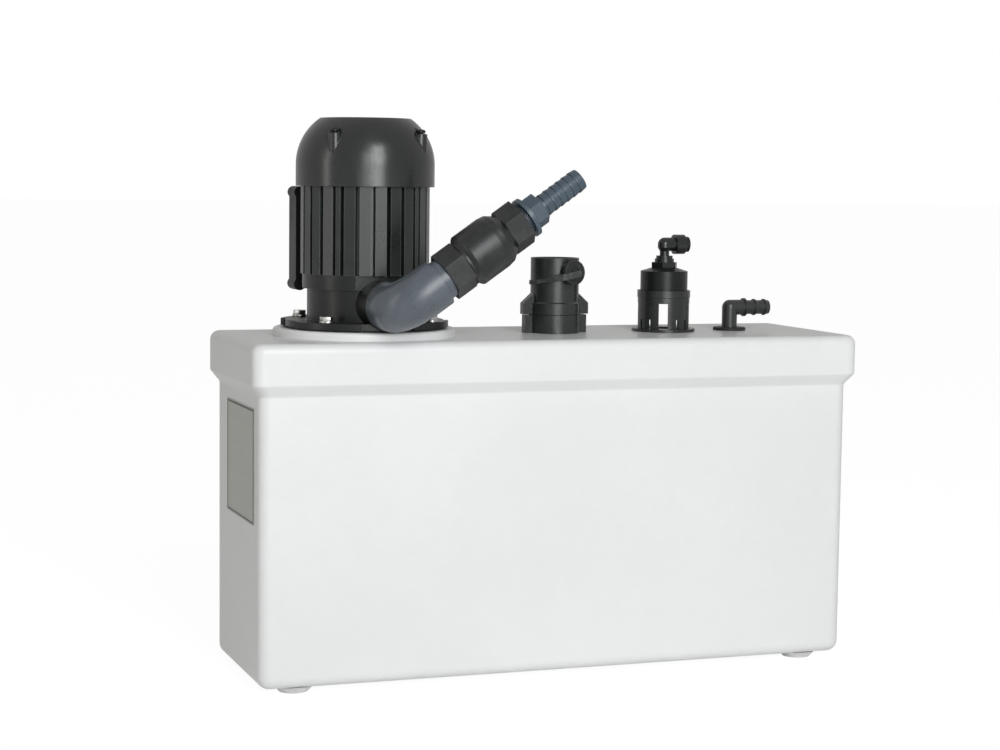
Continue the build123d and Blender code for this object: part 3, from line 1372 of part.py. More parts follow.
with BuildPart() as barb_grommet:
    disc(level(barb_x, top_z), grommet_thickness, grommet_radius)
    disc(level(barb_x, ceiling_z - grommet_tail), tank_wall + grommet_tail, grommet_hole_radius - fit_gap)
    disc(level(barb_x, ceiling_z - grommet_tail), through, barb_elbow_radius + run_gap, Mode.SUBTRACT)
    fillet(barb_grommet.faces().sort_by(Axis.Z)[-1].edges().sort_by(SortBy.RADIUS)[-1], grommet_thickness / 3)
save(barb_grommet, "barb_grommet")

with BuildPart() as barb_elbow:
    disc(level(barb_x, top_z - barb_elbow_tail), barb_elbow_tail + barb_elbow_height, barb_elbow_radius)
    with Locations((barb_x, tank_y, barb_z)):
        Sphere(barb_elbow_radius)
    disc(barb_plane(0), barb_stop_station + merge, barb_elbow_radius)
    disc(barb_plane(barb_stop_station), barb_stop_thickness, barb_stop_radius)
    disc(barb_plane(barb_stop_station), barb_tube_reach - barb_stop_station, barb_tube_radius)
    for ring_station in (barb_first_station, barb_second_station):
        turned(Plane(origin=(barb_x, tank_y, barb_z), x_dir=(1, 0, 0), z_dir=(0, -1, 0)),
               Axis((barb_x, tank_y, barb_z), (1, 0, 0)),
               [(ring_station, 0),
                (ring_station, barb_ring_radius),
                (ring_station + barb_ring_land, barb_ring_radius),
                (ring_station + barb_ring_land + barb_ring_slope, barb_tube_radius),
                (ring_station + barb_ring_land + barb_ring_slope, 0)])
    disc(level(barb_x, top_z - barb_elbow_tail), barb_elbow_tail + barb_elbow_height,
         barb_flow_radius, Mode.SUBTRACT)
    disc(barb_plane(0), barb_tube_reach, barb_flow_radius, Mode.SUBTRACT)
save(barb_elbow, "barb_elbow")

# Level switch in the tank
float_x = pump_x + float_from_pump
stem_low_z = casing_top_z + casing_socket_height + float_above_casing
low_stop_z = stem_low_z + float_stop_height / 2
float_z = low_stop_z + float_stop_height
high_stop_z = float_z + float_height + float_travel

with BuildPart() as float_stem:
    disc(level(float_x, stem_low_z), seat_z - stem_low_z, float_stem_radius)
    fillet(float_stem.faces().sort_by(Axis.Z)[0].edges(), float_stem_radius / 4)
save(float_stem, "float_stem")

with BuildPart() as float_stops:
    tube(level(float_x, low_stop_z), float_stop_height, float_stop_radius, float_stem_radius + fit_gap)
    tube(level(float_x, high_stop_z), float_stop_height, float_stop_radius, float_stem_radius + fit_gap)
save(float_stops, "float_stops")

with BuildPart() as level_float:
    tube(level(float_x, float_z), float_height, float_radius, float_stem_radius + slide_gap)
    float_rims = level_float.edges().filter_by(GeomType.CIRCLE)
    fillet(float_rims.filter_by(lambda edge: edge.radius > float_stop_radius), float_radius / 4)
save(level_float, "level_float")
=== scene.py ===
"""Looks of the brine lifting pump: finishes for every part, the hand-modelled small pieces, and the stage."""
import json
import math

import bpy
from mathutils import Matrix, Vector


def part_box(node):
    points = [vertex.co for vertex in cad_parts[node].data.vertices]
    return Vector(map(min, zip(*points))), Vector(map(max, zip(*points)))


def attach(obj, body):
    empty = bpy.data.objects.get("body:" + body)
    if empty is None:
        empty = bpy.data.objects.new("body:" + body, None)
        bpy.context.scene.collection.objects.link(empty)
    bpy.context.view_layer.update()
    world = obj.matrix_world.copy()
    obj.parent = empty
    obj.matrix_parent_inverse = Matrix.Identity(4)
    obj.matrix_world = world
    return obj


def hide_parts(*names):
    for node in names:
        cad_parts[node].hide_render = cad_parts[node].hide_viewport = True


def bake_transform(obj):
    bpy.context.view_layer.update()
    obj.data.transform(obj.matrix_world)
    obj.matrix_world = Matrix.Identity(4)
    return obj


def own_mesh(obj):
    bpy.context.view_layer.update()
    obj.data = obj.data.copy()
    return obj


bl_info = {
    "name": "Brine lifting pump",
    "version": (1, 0, 0),
    "blender": (4, 5, 0),
    "location": "3D View > Sidebar > Lifting Pump",
    "description": "Finishes, fasteners and stage for the tank-mounted brine lifting pump",
    "category": "Object",
}

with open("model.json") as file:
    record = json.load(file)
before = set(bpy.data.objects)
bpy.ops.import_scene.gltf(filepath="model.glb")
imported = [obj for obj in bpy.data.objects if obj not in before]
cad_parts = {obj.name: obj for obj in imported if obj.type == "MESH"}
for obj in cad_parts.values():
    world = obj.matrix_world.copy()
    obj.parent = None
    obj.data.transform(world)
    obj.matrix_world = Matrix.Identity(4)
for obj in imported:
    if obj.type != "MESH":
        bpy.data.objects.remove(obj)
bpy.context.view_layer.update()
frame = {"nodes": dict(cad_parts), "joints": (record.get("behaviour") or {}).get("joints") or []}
nodes = frame["nodes"]

MM = 0.001


# ---------------------------------------- places taken from the frame

def middle(node):
    """Centre of a CAD node's box."""
    low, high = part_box(node)
    return (low + high) / 2


def top(node):
    """Highest level of a CAD node."""
    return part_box(node)[1].z


FLANGE_THICKNESS = 5.4 * MM
TUBE_RISE = 62.5 * MM  # top of the inlet tube above the tank
TUBE_RADIUS = 20.2 * MM
PORT_TURN = math.radians(-75)  # direction of the side port
PORT_REACH = 24.8 * MM  # its face from the tube's axis
PORT_LEVEL = 51.0 * MM  # its axis above the tank
POPPET_TRAVEL = 6.0 * MM
PART_LINE = 0.05 * MM  # left between faces that lie on each other
BAND_GAP = 0.1 * MM  # left under the plug's strap
WELD = 0.001 * MM  # points of a mesh nearer than this are one
MIRRORED = 0.5  # how much of the white background reflections show

pump_centre = middle("pump_gasket")
seat_level = top("pump_gasket") + FLANGE_THICKNESS
inlet_centre = middle("inlet_collar")
tank_top = top("inlet_tube") - TUBE_RISE

DUST = (0.42, 0.41, 0.39)
CASTING_DUST = (0.40, 0.39, 0.37)
GRIME = (0.55, 0.52, 0.46)
HANDLING = (0.30, 0.33, 0.35)
FOOT_WHITE = (0.72, 0.72, 0.71)
FLOAT_WHITE = (0.70, 0.70, 0.68)
CORE_STEEL = (0.30, 0.30, 0.30)
ROTOR_METAL = (0.56, 0.56, 0.56)
EVEN = (1.0, 1.0, 1.0)  # tool marks with no direction


# ---------------------------------------- values that a user would change

def colour(label, words, value):
    """Colour property with a plain description."""
    return bpy.props.FloatVectorProperty(
        name=label, description=words, subtype="COLOR", size=3, min=0.0, max=1.0, default=value)


def length(label, words, value):
    """Length property in metres."""
    return bpy.props.FloatProperty(
        name=label, description=words, unit="LENGTH", subtype="DISTANCE", default=value)


class PumpColours(bpy.types.PropertyGroup):
    """Colours of the finishes."""
    tank: colour("Tank", "White moulded tank", (0.80, 0.805, 0.805))
    plate: colour("Rating plate", "Grey plate on the tank's end", (0.52, 0.53, 0.495))
    plate_edge: colour("Plate border", "Darker border of the rating plate", (0.10, 0.105, 0.10))
    motor: colour("Motor", "Paint on the motor castings", (0.0165, 0.0195, 0.0186))
    cover: colour("Fan cover", "Moulded fan cover", (0.0105, 0.0125, 0.0118))
    lantern: colour("Pump head", "Moulded pump head and terminal box", (0.0065, 0.0080, 0.0075))
    inlet: colour("Inlet fittings", "Moulded inlet, and darker the cage and cup", (0.020, 0.0232, 0.0218))
    fitting: colour("Push fitting", "Small glossy fittings", (0.010, 0.0115, 0.0115))
    barb: colour("Overflow elbow", "Barbed elbow", (0.028, 0.030, 0.030))
    valve: colour("Check valve", "Glass-filled valve body", (0.017, 0.018, 0.018))
    grey_pipe: colour("Grey pipe", "Blue-grey elbow, its adaptor and the poppet", (0.092, 0.108, 0.128))
    nozzle: colour("Hose nozzle", "Bluer grey of the hose nozzle", (0.060, 0.085, 0.115))
    wet_parts: colour("Wet parts", "Grey mouldings inside the tank", (0.12, 0.125, 0.13))
    rubber: colour("Rubber", "Seals and grommet, and paler the plug and strap", (0.013, 0.0135, 0.0135))
    zinc: colour("Zinc", "Zinc-plated fasteners", (0.54, 0.54, 0.52))
    brass: colour("Brass", "Inserts and the impeller nut", (0.60, 0.42, 0.18))
    copper: colour("Copper", "Windings", (0.62, 0.26, 0.12))
    black_steel: colour("Blackened steel", "Fan cover screws", (0.030, 0.031, 0.032))
    steel: colour("Steel", "Shaft, bearings and spring", (0.58, 0.58, 0.57))


class PumpSizes(bpy.types.PropertyGroup):
    """Sizes of the hand-modelled pieces and of the edges' softness."""
    bolt_flats: length("Bolt flats", "Width across the flats of a flange bolt's head", 10 * MM)
    bolt_head: length("Bolt head", "Height of a flange bolt's head", 4 * MM)
    bolt_shank: length("Bolt shank", "Radius of a flange bolt", 2.9 * MM)
    bolt_length: length("Bolt length", "Flange bolt below its head", 20 * MM)
    washer_radius: length("Washer radius", "Radius of a flange washer", 6 * MM)
    washer_thickness: length("Washer thickness", "Thickness of a flange washer", 1.6 * MM)
    cover_head: length("Cover screw head", "Radius of a fan cover screw's head", 3.8 * MM)
    lid_head: length("Lid screw head", "Radius of a terminal lid screw's head", 3.6 * MM)
    cap_radius: length("Cap radius", "Radius of the side plug's cap", 10.2 * MM)
    cap_thickness: length("Cap thickness", "Thickness of the side plug's cap", 3.6 * MM)
    stem_radius: length("Stem radius", "Radius of the side plug's stem", 5.8 * MM)
    stem_length: length("Stem length", "Length of the side plug's stem", 7 * MM)
    strap_thickness: length("Strap thickness", "Thickness of the plug's rubber strap", 1.0 * MM)
    strap_height: length("Strap height", "Height of the strap round the tube", 3.4 * MM)
    strap_level: length("Strap level", "Middle of the strap above the tank, at the tube's axis", 45.6 * MM)
    strap_climb: length("Strap climb", "Rise of the strap from the tube's middle to its right side", 3.8 * MM)
    plate_border: length("Plate border", "Width of the rating plate's raised border", 1.5 * MM)
    moulded_edge: length("Moulded edges", "Softness of the mouldings' edges", 0.5 * MM)
    cast_edge: length("Cast edges", "Softness of the castings' edges", 0.45 * MM)


def chosen(context):
    """The colours and sizes that the panel holds."""
    return context.scene.pump_colours, context.scene.pump_sizes


# ---------------------------------------- shader sums

class Signal:
    """A number that varies over a surface and takes part in Python sums."""

    def __init__(self, finish, socket):
        self.finish = finish
        self.socket = socket

    def maths(self, operation, first, second=0.0, clamp=False):
        made = self.finish.node("ShaderNodeMath", {"operation": operation, "use_clamp": clamp},
                                {0: first, 1: second})
        return Signal(self.finish, made.outputs[0])

    def __add__(self, other):
        return self.maths("ADD", self, other)

    __radd__ = __add__

    def __sub__(self, other):
        return self.maths("SUBTRACT", self, other)

    def __rsub__(self, other):
        return self.maths("SUBTRACT", other, self)

    def __mul__(self, other):
        return self.maths("MULTIPLY", self, other)

    __rmul__ = __mul__

    def clamped(self):
        return self.maths("ADD", self, 0.0, clamp=True)


class Graph:
    """The nodes of a material or of the world."""

    def __init__(self, tree):
        self.tree = tree

    def node(self, kind, settings=None, sockets=None):
        """Any node: its settings first, then its sockets' values or links."""
        made = self.tree.nodes.new(kind)
        for name, value in (settings or {}).items():
            setattr(made, name, value)
        for key, value in (sockets or {}).items():
            self.feed(made.inputs[key], value)
        return made

    def feed(self, socket, value):
        """Sets a socket to a value, or links it."""
        if isinstance(value, Signal):
            value = value.socket
        if isinstance(value, bpy.types.NodeSocket):
            self.tree.links.new(value, socket)
        elif isinstance(value, (tuple, list)) and len(value) == 3 and socket.type == "RGBA":
            socket.default_value = (*value, 1.0)
        else:
            socket.default_value = value


class Finish(Graph):
    """A procedural material on the standard shader."""

    def __init__(self, name, roughness, metallic=0.0, specular=0.5):
        self.material = bpy.data.materials.new(name)
        self.material.use_nodes = True
        super().__init__(self.material.node_tree)
        self.shader = self.tree.nodes["Principled BSDF"]
        self.feed(self.shader.inputs["Metallic"], metallic)
        self.feed(self.shader.inputs["Roughness"], roughness)
        self.feed(self.shader.inputs["Specular IOR Level"], specular)
        self.place = self.node("ShaderNodeTexCoord").outputs["Object"]

    def noise(self, scale, detail=3.0, roughness=0.5, stretch=None):
        """Even noise from 0 to 1, with its scale in features a metre."""
        place = self.place
        if stretch:
            place = self.node("ShaderNodeMapping", None, {"Vector": place, "Scale": stretch}).outputs[0]
        made = self.node("ShaderNodeTexNoise", {"noise_dimensions": "3D"},
                         {"Vector": place, "Scale": scale, "Detail": detail, "Roughness": roughness})
        return Signal(self, made.outputs[0])

    def cells(self, scale):
        """Cell pattern for cast skins."""
        made = self.node("ShaderNodeTexVoronoi", {"feature": "F1"}, {"Vector": self.place, "Scale": scale})
        return Signal(self, made.outputs["Distance"])

    def between(self, signal, low, high):
        """Smooth step of a signal: 0 at low, 1 at high."""
        made = self.node("ShaderNodeMapRange", {"interpolation_type": "SMOOTHSTEP"},
                         {"Value": signal, "From Min": low, "From Max": high})
        return Signal(self, made.outputs[0])

    def facing_up(self):
        """1 on level upper faces, 0 on walls."""
        normal = self.node("ShaderNodeNewGeometry").outputs["Normal"]
        height = self.node("ShaderNodeSeparateXYZ", None, {0: normal}).outputs["Z"]
        return self.between(Signal(self, height), 0.35, 0.95)

    def near_edges(self, reach):
        """1 at sharp edges, 0 away from them."""
        rounded = self.node("ShaderNodeBevel", {"samples": 4}, {"Radius": reach}).outputs[0]
        normal = self.node("ShaderNodeNewGeometry").outputs["Normal"]
        agreement = self.node("ShaderNodeVectorMath", {"operation": "DOT_PRODUCT"}, {0: rounded, 1: normal})
        return self.between(1.0 - Signal(self, agreement.outputs["Value"]), 0.01, 0.12)

    def mix(self, factor, first, second):
        """Blend of two colours."""
        made = self.node("ShaderNodeMix", {"data_type": "RGBA"}, {0: factor, 6: first, 7: second})
        return made.outputs[2]

    def skin(self, heights, edge):
        """Normal from (height signal, depth in metres) pairs over softened edges."""
        normal = self.node("ShaderNodeBevel", {"samples": 4}, {"Radius": edge}).outputs[0]
        for height, depth in heights:
            normal = self.node("ShaderNodeBump", None, {"Strength": 1.0, "Distance": depth, "Height": height,
                                                        "Normal": normal}).outputs[0]
        self.feed(self.shader.inputs["Normal"], normal)

    def paint(self, base):
        self.feed(self.shader.inputs["Base Color"], base)

    def gloss(self, roughness):
        self.feed(self.shader.inputs["Roughness"], roughness)


def scaled(value, factor):
    """A colour made lighter or darker."""
    return tuple(min(1.0, part * factor) for part in value)


def moulded(name, base, rough, edge, grain=900.0, grain_depth=0.02 * MM, mottle=0.12, dust=0.03,
            specular=0.5):
    """Moulded plastic: fine grain, faint flow mottling, rubbed patches and a little dust on upper faces."""
    finish = Finish(name, rough, specular=specular)
    flow = finish.noise(14.0, 4.0, 0.6, (1.0, 1.0, 2.2))
    speck = finish.noise(380.0, 2.0, 0.6)
    tone = finish.between(0.7 * flow + 0.3 * speck, 0.35, 0.65)
    body = finish.mix(tone, scaled(base, 1 - mottle), scaled(base, 1 + mottle))
    settled = finish.between(finish.noise(46.0, 5.0, 0.65), 0.40, 0.72) * finish.facing_up() * dust
    finish.paint(finish.mix(settled, body, DUST))
    rubbed = finish.between(finish.noise(60.0, 4.0, 0.6, (1.0, 1.0, 0.35)), 0.45, 0.75)
    finish.gloss((rough - 0.07 + 0.10 * rubbed + 0.08 * speck + 0.5 * settled).clamped())
    finish.skin([(finish.noise(grain, 2.0, 0.5), grain_depth), (flow, 0.1 * MM)], edge)
    return finish.material


def cast_paint(name, base, rough, edge, specular=0.5):
    """Painted casting: sandy skin under the paint, uneven tone, scuffs, edges painted lighter as rubbed wear
    and as a painted highlight, and dust.
    """
    finish = Finish(name, rough, specular=specular)
    sand = finish.cells(900.0)
    broad = finish.noise(22.0, 4.0, 0.6)
    tone = finish.between(broad, 0.3, 0.7)
    body = finish.mix(tone, scaled(base, 0.8), scaled(base, 1.25))
    scuff = finish.between(finish.noise(210.0, 4.0, 0.7, (1.0, 1.0, 0.3)), 0.66, 0.74) * 0.35
    body = finish.mix(scuff, body, scaled(base, 3.2))
    # edges painted much lighter: partly rubbed paint, partly a painted highlight along the lit edges
    body = finish.mix(finish.near_edges(2.2 * edge) * (0.4 + 0.6 * broad), body, scaled(base, 8.0))
    settled = finish.between(finish.noise(60.0, 4.0, 0.6), 0.42, 0.7) * finish.facing_up() * 0.10
    finish.paint(finish.mix(settled, body, CASTING_DUST))
    finish.gloss((rough + 0.14 * (broad - 0.5) + 0.12 * scuff + 0.3 * settled).clamped())
    finish.skin([(sand, 0.025 * MM), (broad, 0.15 * MM)], edge)
    return finish.material


def tank_white(base, edge):
    """Blow-moulded tank wall: soft waviness, orange peel, cloudy tone and a little grime."""
    finish = Finish("tank_wall_white", 0.30, specular=0.40)
    cloud = finish.noise(7.0, 4.0, 0.55)
    fine = finish.noise(120.0, 3.0, 0.6)
    tone = finish.between(0.75 * cloud + 0.25 * fine, 0.35, 0.65)
    body = finish.mix(tone, scaled(base, 0.975), scaled(base, 1.01))
    grime = finish.between(finish.noise(30.0, 6.0, 0.7), 0.60, 0.78) * 0.05
    finish.paint(finish.mix(grime, body, GRIME))
    finish.gloss((0.22 + 0.12 * cloud + 0.06 * fine + 0.8 * grime).clamped())
    finish.skin([(finish.noise(9.0, 2.0, 0.4), 2.2 * MM), (finish.noise(420.0, 2.0, 0.5), 0.06 * MM)], edge)
    return finish.material


def glass_filled(name, base, rough, edge):
    """Glass-filled plastic: streaky grey bloom of the fibres over black."""
    finish = Finish(name, rough, specular=0.42)
    streak = finish.noise(120.0, 5.0, 0.65, (0.6, 1.6, 0.6))
    bloom = finish.noise(42.0, 4.0, 0.6)
    tone = finish.between(0.5 * streak + 0.5 * bloom, 0.40, 0.62)
    body = finish.mix(tone, scaled(base, 0.7), scaled(base, 1.4))
    speckle = finish.between(finish.noise(1400.0, 2.0, 0.6), 0.62, 0.72) * 0.25
    finish.paint(finish.mix(speckle, body, scaled(base, 3.5)))
    finish.gloss((rough + 0.20 * (streak - 0.5) + 0.05 * speckle).clamped())
    finish.skin([(streak, 0.09 * MM), (bloom, 0.3 * MM)], edge)
    return finish.material


def soft_rubber(name, base, edge):
    """Matt rubber with bloom and fine pores."""
    finish = Finish(name, 0.62, specular=0.4)
    bloom = finish.noise(70.0, 4.0, 0.6)
    pores = finish.noise(1300.0, 3.0, 0.6)
    finish.paint(finish.mix(finish.between(bloom, 0.45, 0.72), scaled(base, 0.85), scaled(base, 2.1)))
    finish.gloss((0.52 + 0.16 * bloom + 0.08 * pores).clamped())
    finish.skin([(pores, 0.04 * MM)], edge)
    return finish.material


def worked_metal(name, base, rough, streaks, edge, dull=0.0):
    """Metal with fine tool marks, uneven plating and dull spots."""
    finish = Finish(name, rough, metallic=1.0)
    marks = finish.noise(900.0, 3.0, 0.6, streaks)
    plating = finish.noise(140.0, 4.0, 0.6)
    body = finish.mix(finish.between(plating, 0.35, 0.7), scaled(base, 0.82), scaled(base, 1.08))
    spot = finish.between(finish.noise(300.0, 5.0, 0.7), 0.58, 0.72) * (0.25 + dull)
    finish.paint(finish.mix(spot, body, scaled(base, 0.45)))
    finish.gloss((rough + 0.16 * (marks - 0.5) + 0.12 * (plating - 0.5) + 0.3 * spot).clamped())
    finish.skin([(marks, 0.02 * MM)], edge)
    return finish.material


def grey_pipe(name, base, rough, edge):
    """Blue-grey pressure fitting: satin, with fine grain, flow marks and pale handling scuffs."""
    finish = Finish(name, rough)
    flow = finish.noise(26.0, 5.0, 0.6, (1.0, 2.0, 1.0))
    grain = finish.noise(700.0, 3.0, 0.6)
    tone = finish.between(0.65 * flow + 0.35 * grain, 0.38, 0.62)
    body = finish.mix(tone, scaled(base, 0.88), scaled(base, 1.12))
    scuff = finish.between(finish.noise(260.0, 5.0, 0.7, (0.4, 1.0, 0.7)), 0.63, 0.74) * 0.20
    finish.paint(finish.mix(scuff, body, HANDLING))
    finish.gloss((rough + 0.14 * (flow - 0.5) + 0.12 * (grain - 0.5) + 0.3 * scuff).clamped())
    finish.skin([(grain, 0.03 * MM), (flow, 0.1 * MM)], edge)
    return finish.material


def plate_finish(name, tint, edge):
    """Plate with wiped streaks and a faint fibre."""
    finish = Finish(name, 0.42, specular=0.4)
    wiped = finish.noise(60.0, 5.0, 0.6, (1.0, 0.25, 2.0))
    fibre = finish.noise(900.0, 3.0, 0.6)
    tone = finish.between(0.7 * wiped + 0.3 * fibre, 0.3, 0.7)
    finish.paint(finish.mix(tone, scaled(tint, 0.93), scaled(tint, 1.05)))
    finish.gloss((0.34 + 0.18 * wiped + 0.06 * fibre).clamped())
    finish.skin([(fibre, 0.03 * MM), (wiped, 0.06 * MM)], edge)
    return finish.material


# ---------------------------------------- modelling by hand

def fresh(add, name, **placing):
    """Adds a primitive with nothing else selected."""
    if bpy.context.object and bpy.context.object.mode != "OBJECT":
        bpy.ops.object.mode_set(mode="OBJECT")
    bpy.ops.object.select_all(action="DESELECT")
    add(**placing)
    piece = bpy.context.object
    piece.name = name
    piece.data.name = name
    return piece


def take(piece):
    """Makes a piece the only one selected, and the one in hand."""
    bpy.ops.object.select_all(action="DESELECT")
    piece.select_set(True)
    bpy.context.view_layer.objects.active = piece


def open_whole():
    """Applies the place of the piece in hand and selects all of it in edit mode."""
    bpy.ops.object.transform_apply(location=True, rotation=True, scale=True)
    bpy.ops.object.mode_set(mode="EDIT")
    bpy.ops.mesh.select_all(action="SELECT")


def draw_in(width, **settings):
    """Draws the selected faces in by a width."""
    bpy.ops.mesh.inset(thickness=width, depth=0.0, **settings)


def push(value):
    """Extrudes what is selected by a vector."""
    bpy.ops.mesh.extrude_region_move(TRANSFORM_OT_translate={"value": value})


def apart(first, second):
    """Distance of two points seen from above."""
    return math.hypot(first.x - second.x, first.y - second.y)


def pick(kind, test):
    """Selects faces or edges of the piece in hand, and stays in edit mode.

    The test gets the middle of each, and of a face its normal too."""
    piece = bpy.context.object
    if piece.mode != "EDIT":
        bpy.ops.object.mode_set(mode="EDIT")
    bpy.ops.mesh.select_mode(type=kind)
    bpy.ops.mesh.select_all(action="DESELECT")
    bpy.ops.object.mode_set(mode="OBJECT")
    mesh, turn = piece.data, piece.matrix_world
    picked = 0
    if kind == "FACE":
        for face in mesh.polygons:
            face.select = test(turn @ face.center, (turn.to_3x3() @ face.normal).normalized())
            picked += face.select
    else:
        for edge in mesh.edges:
            first, second = (turn @ mesh.vertices[index].co for index in edge.vertices)
            edge.select = test((first + second) / 2)
            picked += edge.select
    if not picked:
        raise RuntimeError(f"nothing picked on {piece.name}")
    bpy.ops.object.mode_set(mode="EDIT")


def settle(piece, body, material, edge=None, angle=35.0):
    """Softens edges, applies the place, gives the finish and puts the piece on its body."""
    if piece.mode != "OBJECT":
        bpy.ops.object.mode_set(mode="OBJECT")
    take(piece)
    bpy.ops.object.transform_apply(location=True, rotation=True, scale=True)
    if edge:
        soften = piece.modifiers.new("edges", "BEVEL")
        soften.width = edge
        soften.segments = 2
        soften.limit_method = "ANGLE"
        soften.angle_limit = math.radians(angle)
        bpy.ops.object.modifier_apply(modifier=soften.name)
    bpy.ops.object.mode_set(mode="EDIT")
    bpy.ops.mesh.select_all(action="SELECT")
    bpy.ops.mesh.normals_make_consistent(inside=False)
    bpy.ops.object.mode_set(mode="OBJECT")
    bpy.ops.object.shade_smooth_by_angle(angle=math.radians(angle))
    piece.data.materials.clear()
    piece.data.materials.append(material)
    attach(piece, body)
    return piece


def twin(piece, name, turn):
    """Copy of a finished piece, with its own mesh, moved by a matrix that is applied to the mesh."""
    take(piece)
    bpy.ops.object.duplicate(linked=False)
    copied = bpy.context.object
    copied.name = name
    copied.data.name = name
    copied.data.transform(turn)


def about(centre, degrees):
    """Turn round the upright through a point."""
    return (Matrix.Translation(centre) @ Matrix.Rotation(math.radians(degrees), 4, "Z")
            @ Matrix.Translation(-centre))


def quarter_turns(centre, *pieces):
    """Copies finished pieces, whose names end in 1, to the other three places round an upright."""
    axis = Vector((centre.x, centre.y, 0))
    for number in (2, 3, 4):
        for piece in pieces:
            twin(piece, f"{piece.name[:-1]}{number}", about(axis, 90.0 * (number - 1)))


def finish_nodes(material, *names):
    """Puts a finish on CAD nodes, which are not changed otherwise."""
    for name in names:
        piece = nodes[name]
        if not piece.material_slots:
            piece.data.materials.append(material)
        for place in piece.material_slots:
            place.material = material


# ---------------------------------------- operators, one for each group

class TankFinish(bpy.types.Operator):
    """Finishes the moulded tank, its feet and the pale parts in it"""
    bl_idname = "pump.tank"
    bl_label = "Tank"

    def execute(self, context):
        colours, sizes = chosen(context)
        finish_nodes(tank_white(colours.tank, 2 * sizes.moulded_edge), "tank")
        finish_nodes(moulded("foot_white", FOOT_WHITE, 0.45, sizes.moulded_edge, mottle=0.03, dust=0.02),
                     "feet")
        finish_nodes(moulded("float_white", FLOAT_WHITE, 0.42, sizes.moulded_edge, mottle=0.04),
                     "float_stem", "float_stops", "level_float", "terminal_block", "shaft_bush")
        return {"FINISHED"}


class PlateBorder(bpy.types.Operator):
    """Finishes the bare rating plate and models its raised border"""
    bl_idname = "pump.plate"
    bl_label = "Rating plate"
    margin = 1 * MM  # from the plate's edge to the border
    gap = 0.02 * MM  # under the border
    rise = 0.22 * MM  # border's thickness

    def execute(self, context):
        colours, sizes = chosen(context)
        finish_nodes(plate_finish("rating_plate_grey", colours.plate, 0.2 * MM), "rating_plate")
        low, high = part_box("rating_plate")
        centre = (low + high) / 2
        border = fresh(bpy.ops.mesh.primitive_plane_add, "plate_border", size=1.0,
                       location=(low.x - self.gap, centre.y, centre.z), rotation=(0, -math.pi / 2, 0))
        border.scale = (high.z - low.z - 2 * self.margin, high.y - low.y - 2 * self.margin, 1.0)
        open_whole()
        draw_in(sizes.plate_border)
        pick("FACE", lambda point, normal: (point - centre).yz.length < sizes.plate_border)
        bpy.ops.mesh.delete(type="FACE")
        bpy.ops.mesh.select_all(action="SELECT")
        push((-self.rise, 0, 0))
        darker = plate_finish("rating_plate_edge", colours.plate_edge, 0.1 * MM)
        settle(border, "tank_unit", darker, 0.08 * MM)
        return {"FINISHED"}


class MotorFinish(bpy.types.Operator):
    """Finishes the motor's castings, its fan cover, terminal box and inner parts"""
    bl_idname = "pump.motor"
    bl_label = "Motor"

    def execute(self, context):
        colours, sizes = chosen(context)
        finish_nodes(cast_paint("motor_black_paint", colours.motor, 0.29, sizes.cast_edge),
                     "stator_housing", "upper_end_shield")
        finish_nodes(cast_paint("bracket_black_paint", scaled(colours.motor, 0.55), 0.32, sizes.cast_edge,
                                specular=0.4), "motor_bracket")
        finish_nodes(moulded("fan_cover_black", colours.cover, 0.275, 2.0 * sizes.moulded_edge,
                             grain=760.0, specular=0.6), "fan_cover", "cooling_fan")
        finish_nodes(moulded("terminal_box_black", colours.lantern, 0.46, sizes.moulded_edge,
                             grain=820.0, grain_depth=0.03 * MM, specular=0.3),
                     "terminal_box", "terminal_box_lid", "gland_body", "gland_nut")
        finish_nodes(worked_metal("ground_steel", colours.steel, 0.24, (1.0, 1.0, 0.08), 0.2 * MM),
                     "motor_shaft", "lower_bearing", "upper_bearing")
        finish_nodes(worked_metal("core_plates", CORE_STEEL, 0.42, (0.15, 0.15, 3.0), 0.2 * MM, dull=0.2),
                     "stator_core")
        finish_nodes(worked_metal("rotor_aluminium", ROTOR_METAL, 0.38, EVEN, 0.3 * MM), "rotor_core")
        finish_nodes(worked_metal("winding_copper", colours.copper, 0.34, (0.2, 0.2, 4.0), 0.5 * MM),
                     "stator_windings")
        return {"FINISHED"}


class PumpHeadFinish(bpy.types.Operator):
    """Finishes the pump head and the wet parts that hang in the tank"""
    bl_idname = "pump.head"
    bl_label = "Pump head"

    def execute(self, context):
        colours, sizes = chosen(context)
        finish_nodes(moulded("pump_head_black", colours.lantern, 0.36, 1.2 * sizes.moulded_edge,
                             grain=640.0, grain_depth=0.03 * MM, specular=0.4), "pump_lantern")
        finish_nodes(moulded("wet_grey", colours.wet_parts, 0.45, sizes.moulded_edge, mottle=0.08),
                     "pump_column", "pump_casing", "suction_cover", "impeller")
        finish_nodes(soft_rubber("gasket_rubber", colours.rubber, 0.3 * MM),
                     "pump_gasket", "barb_grommet", "shaft_seal", "inlet_o_ring", "poppet_seal")
        finish_nodes(worked_metal("turned_brass", colours.brass, 0.3, (1.0, 1.0, 0.1), 0.2 * MM),
                     "tank_inserts", "impeller_nut")
        finish_nodes(worked_metal("zinc_plate", colours.zinc, 0.34, EVEN, 0.2 * MM),
                     "casing_screws", "motor_tie_bolts")
        return {"FINISHED"}


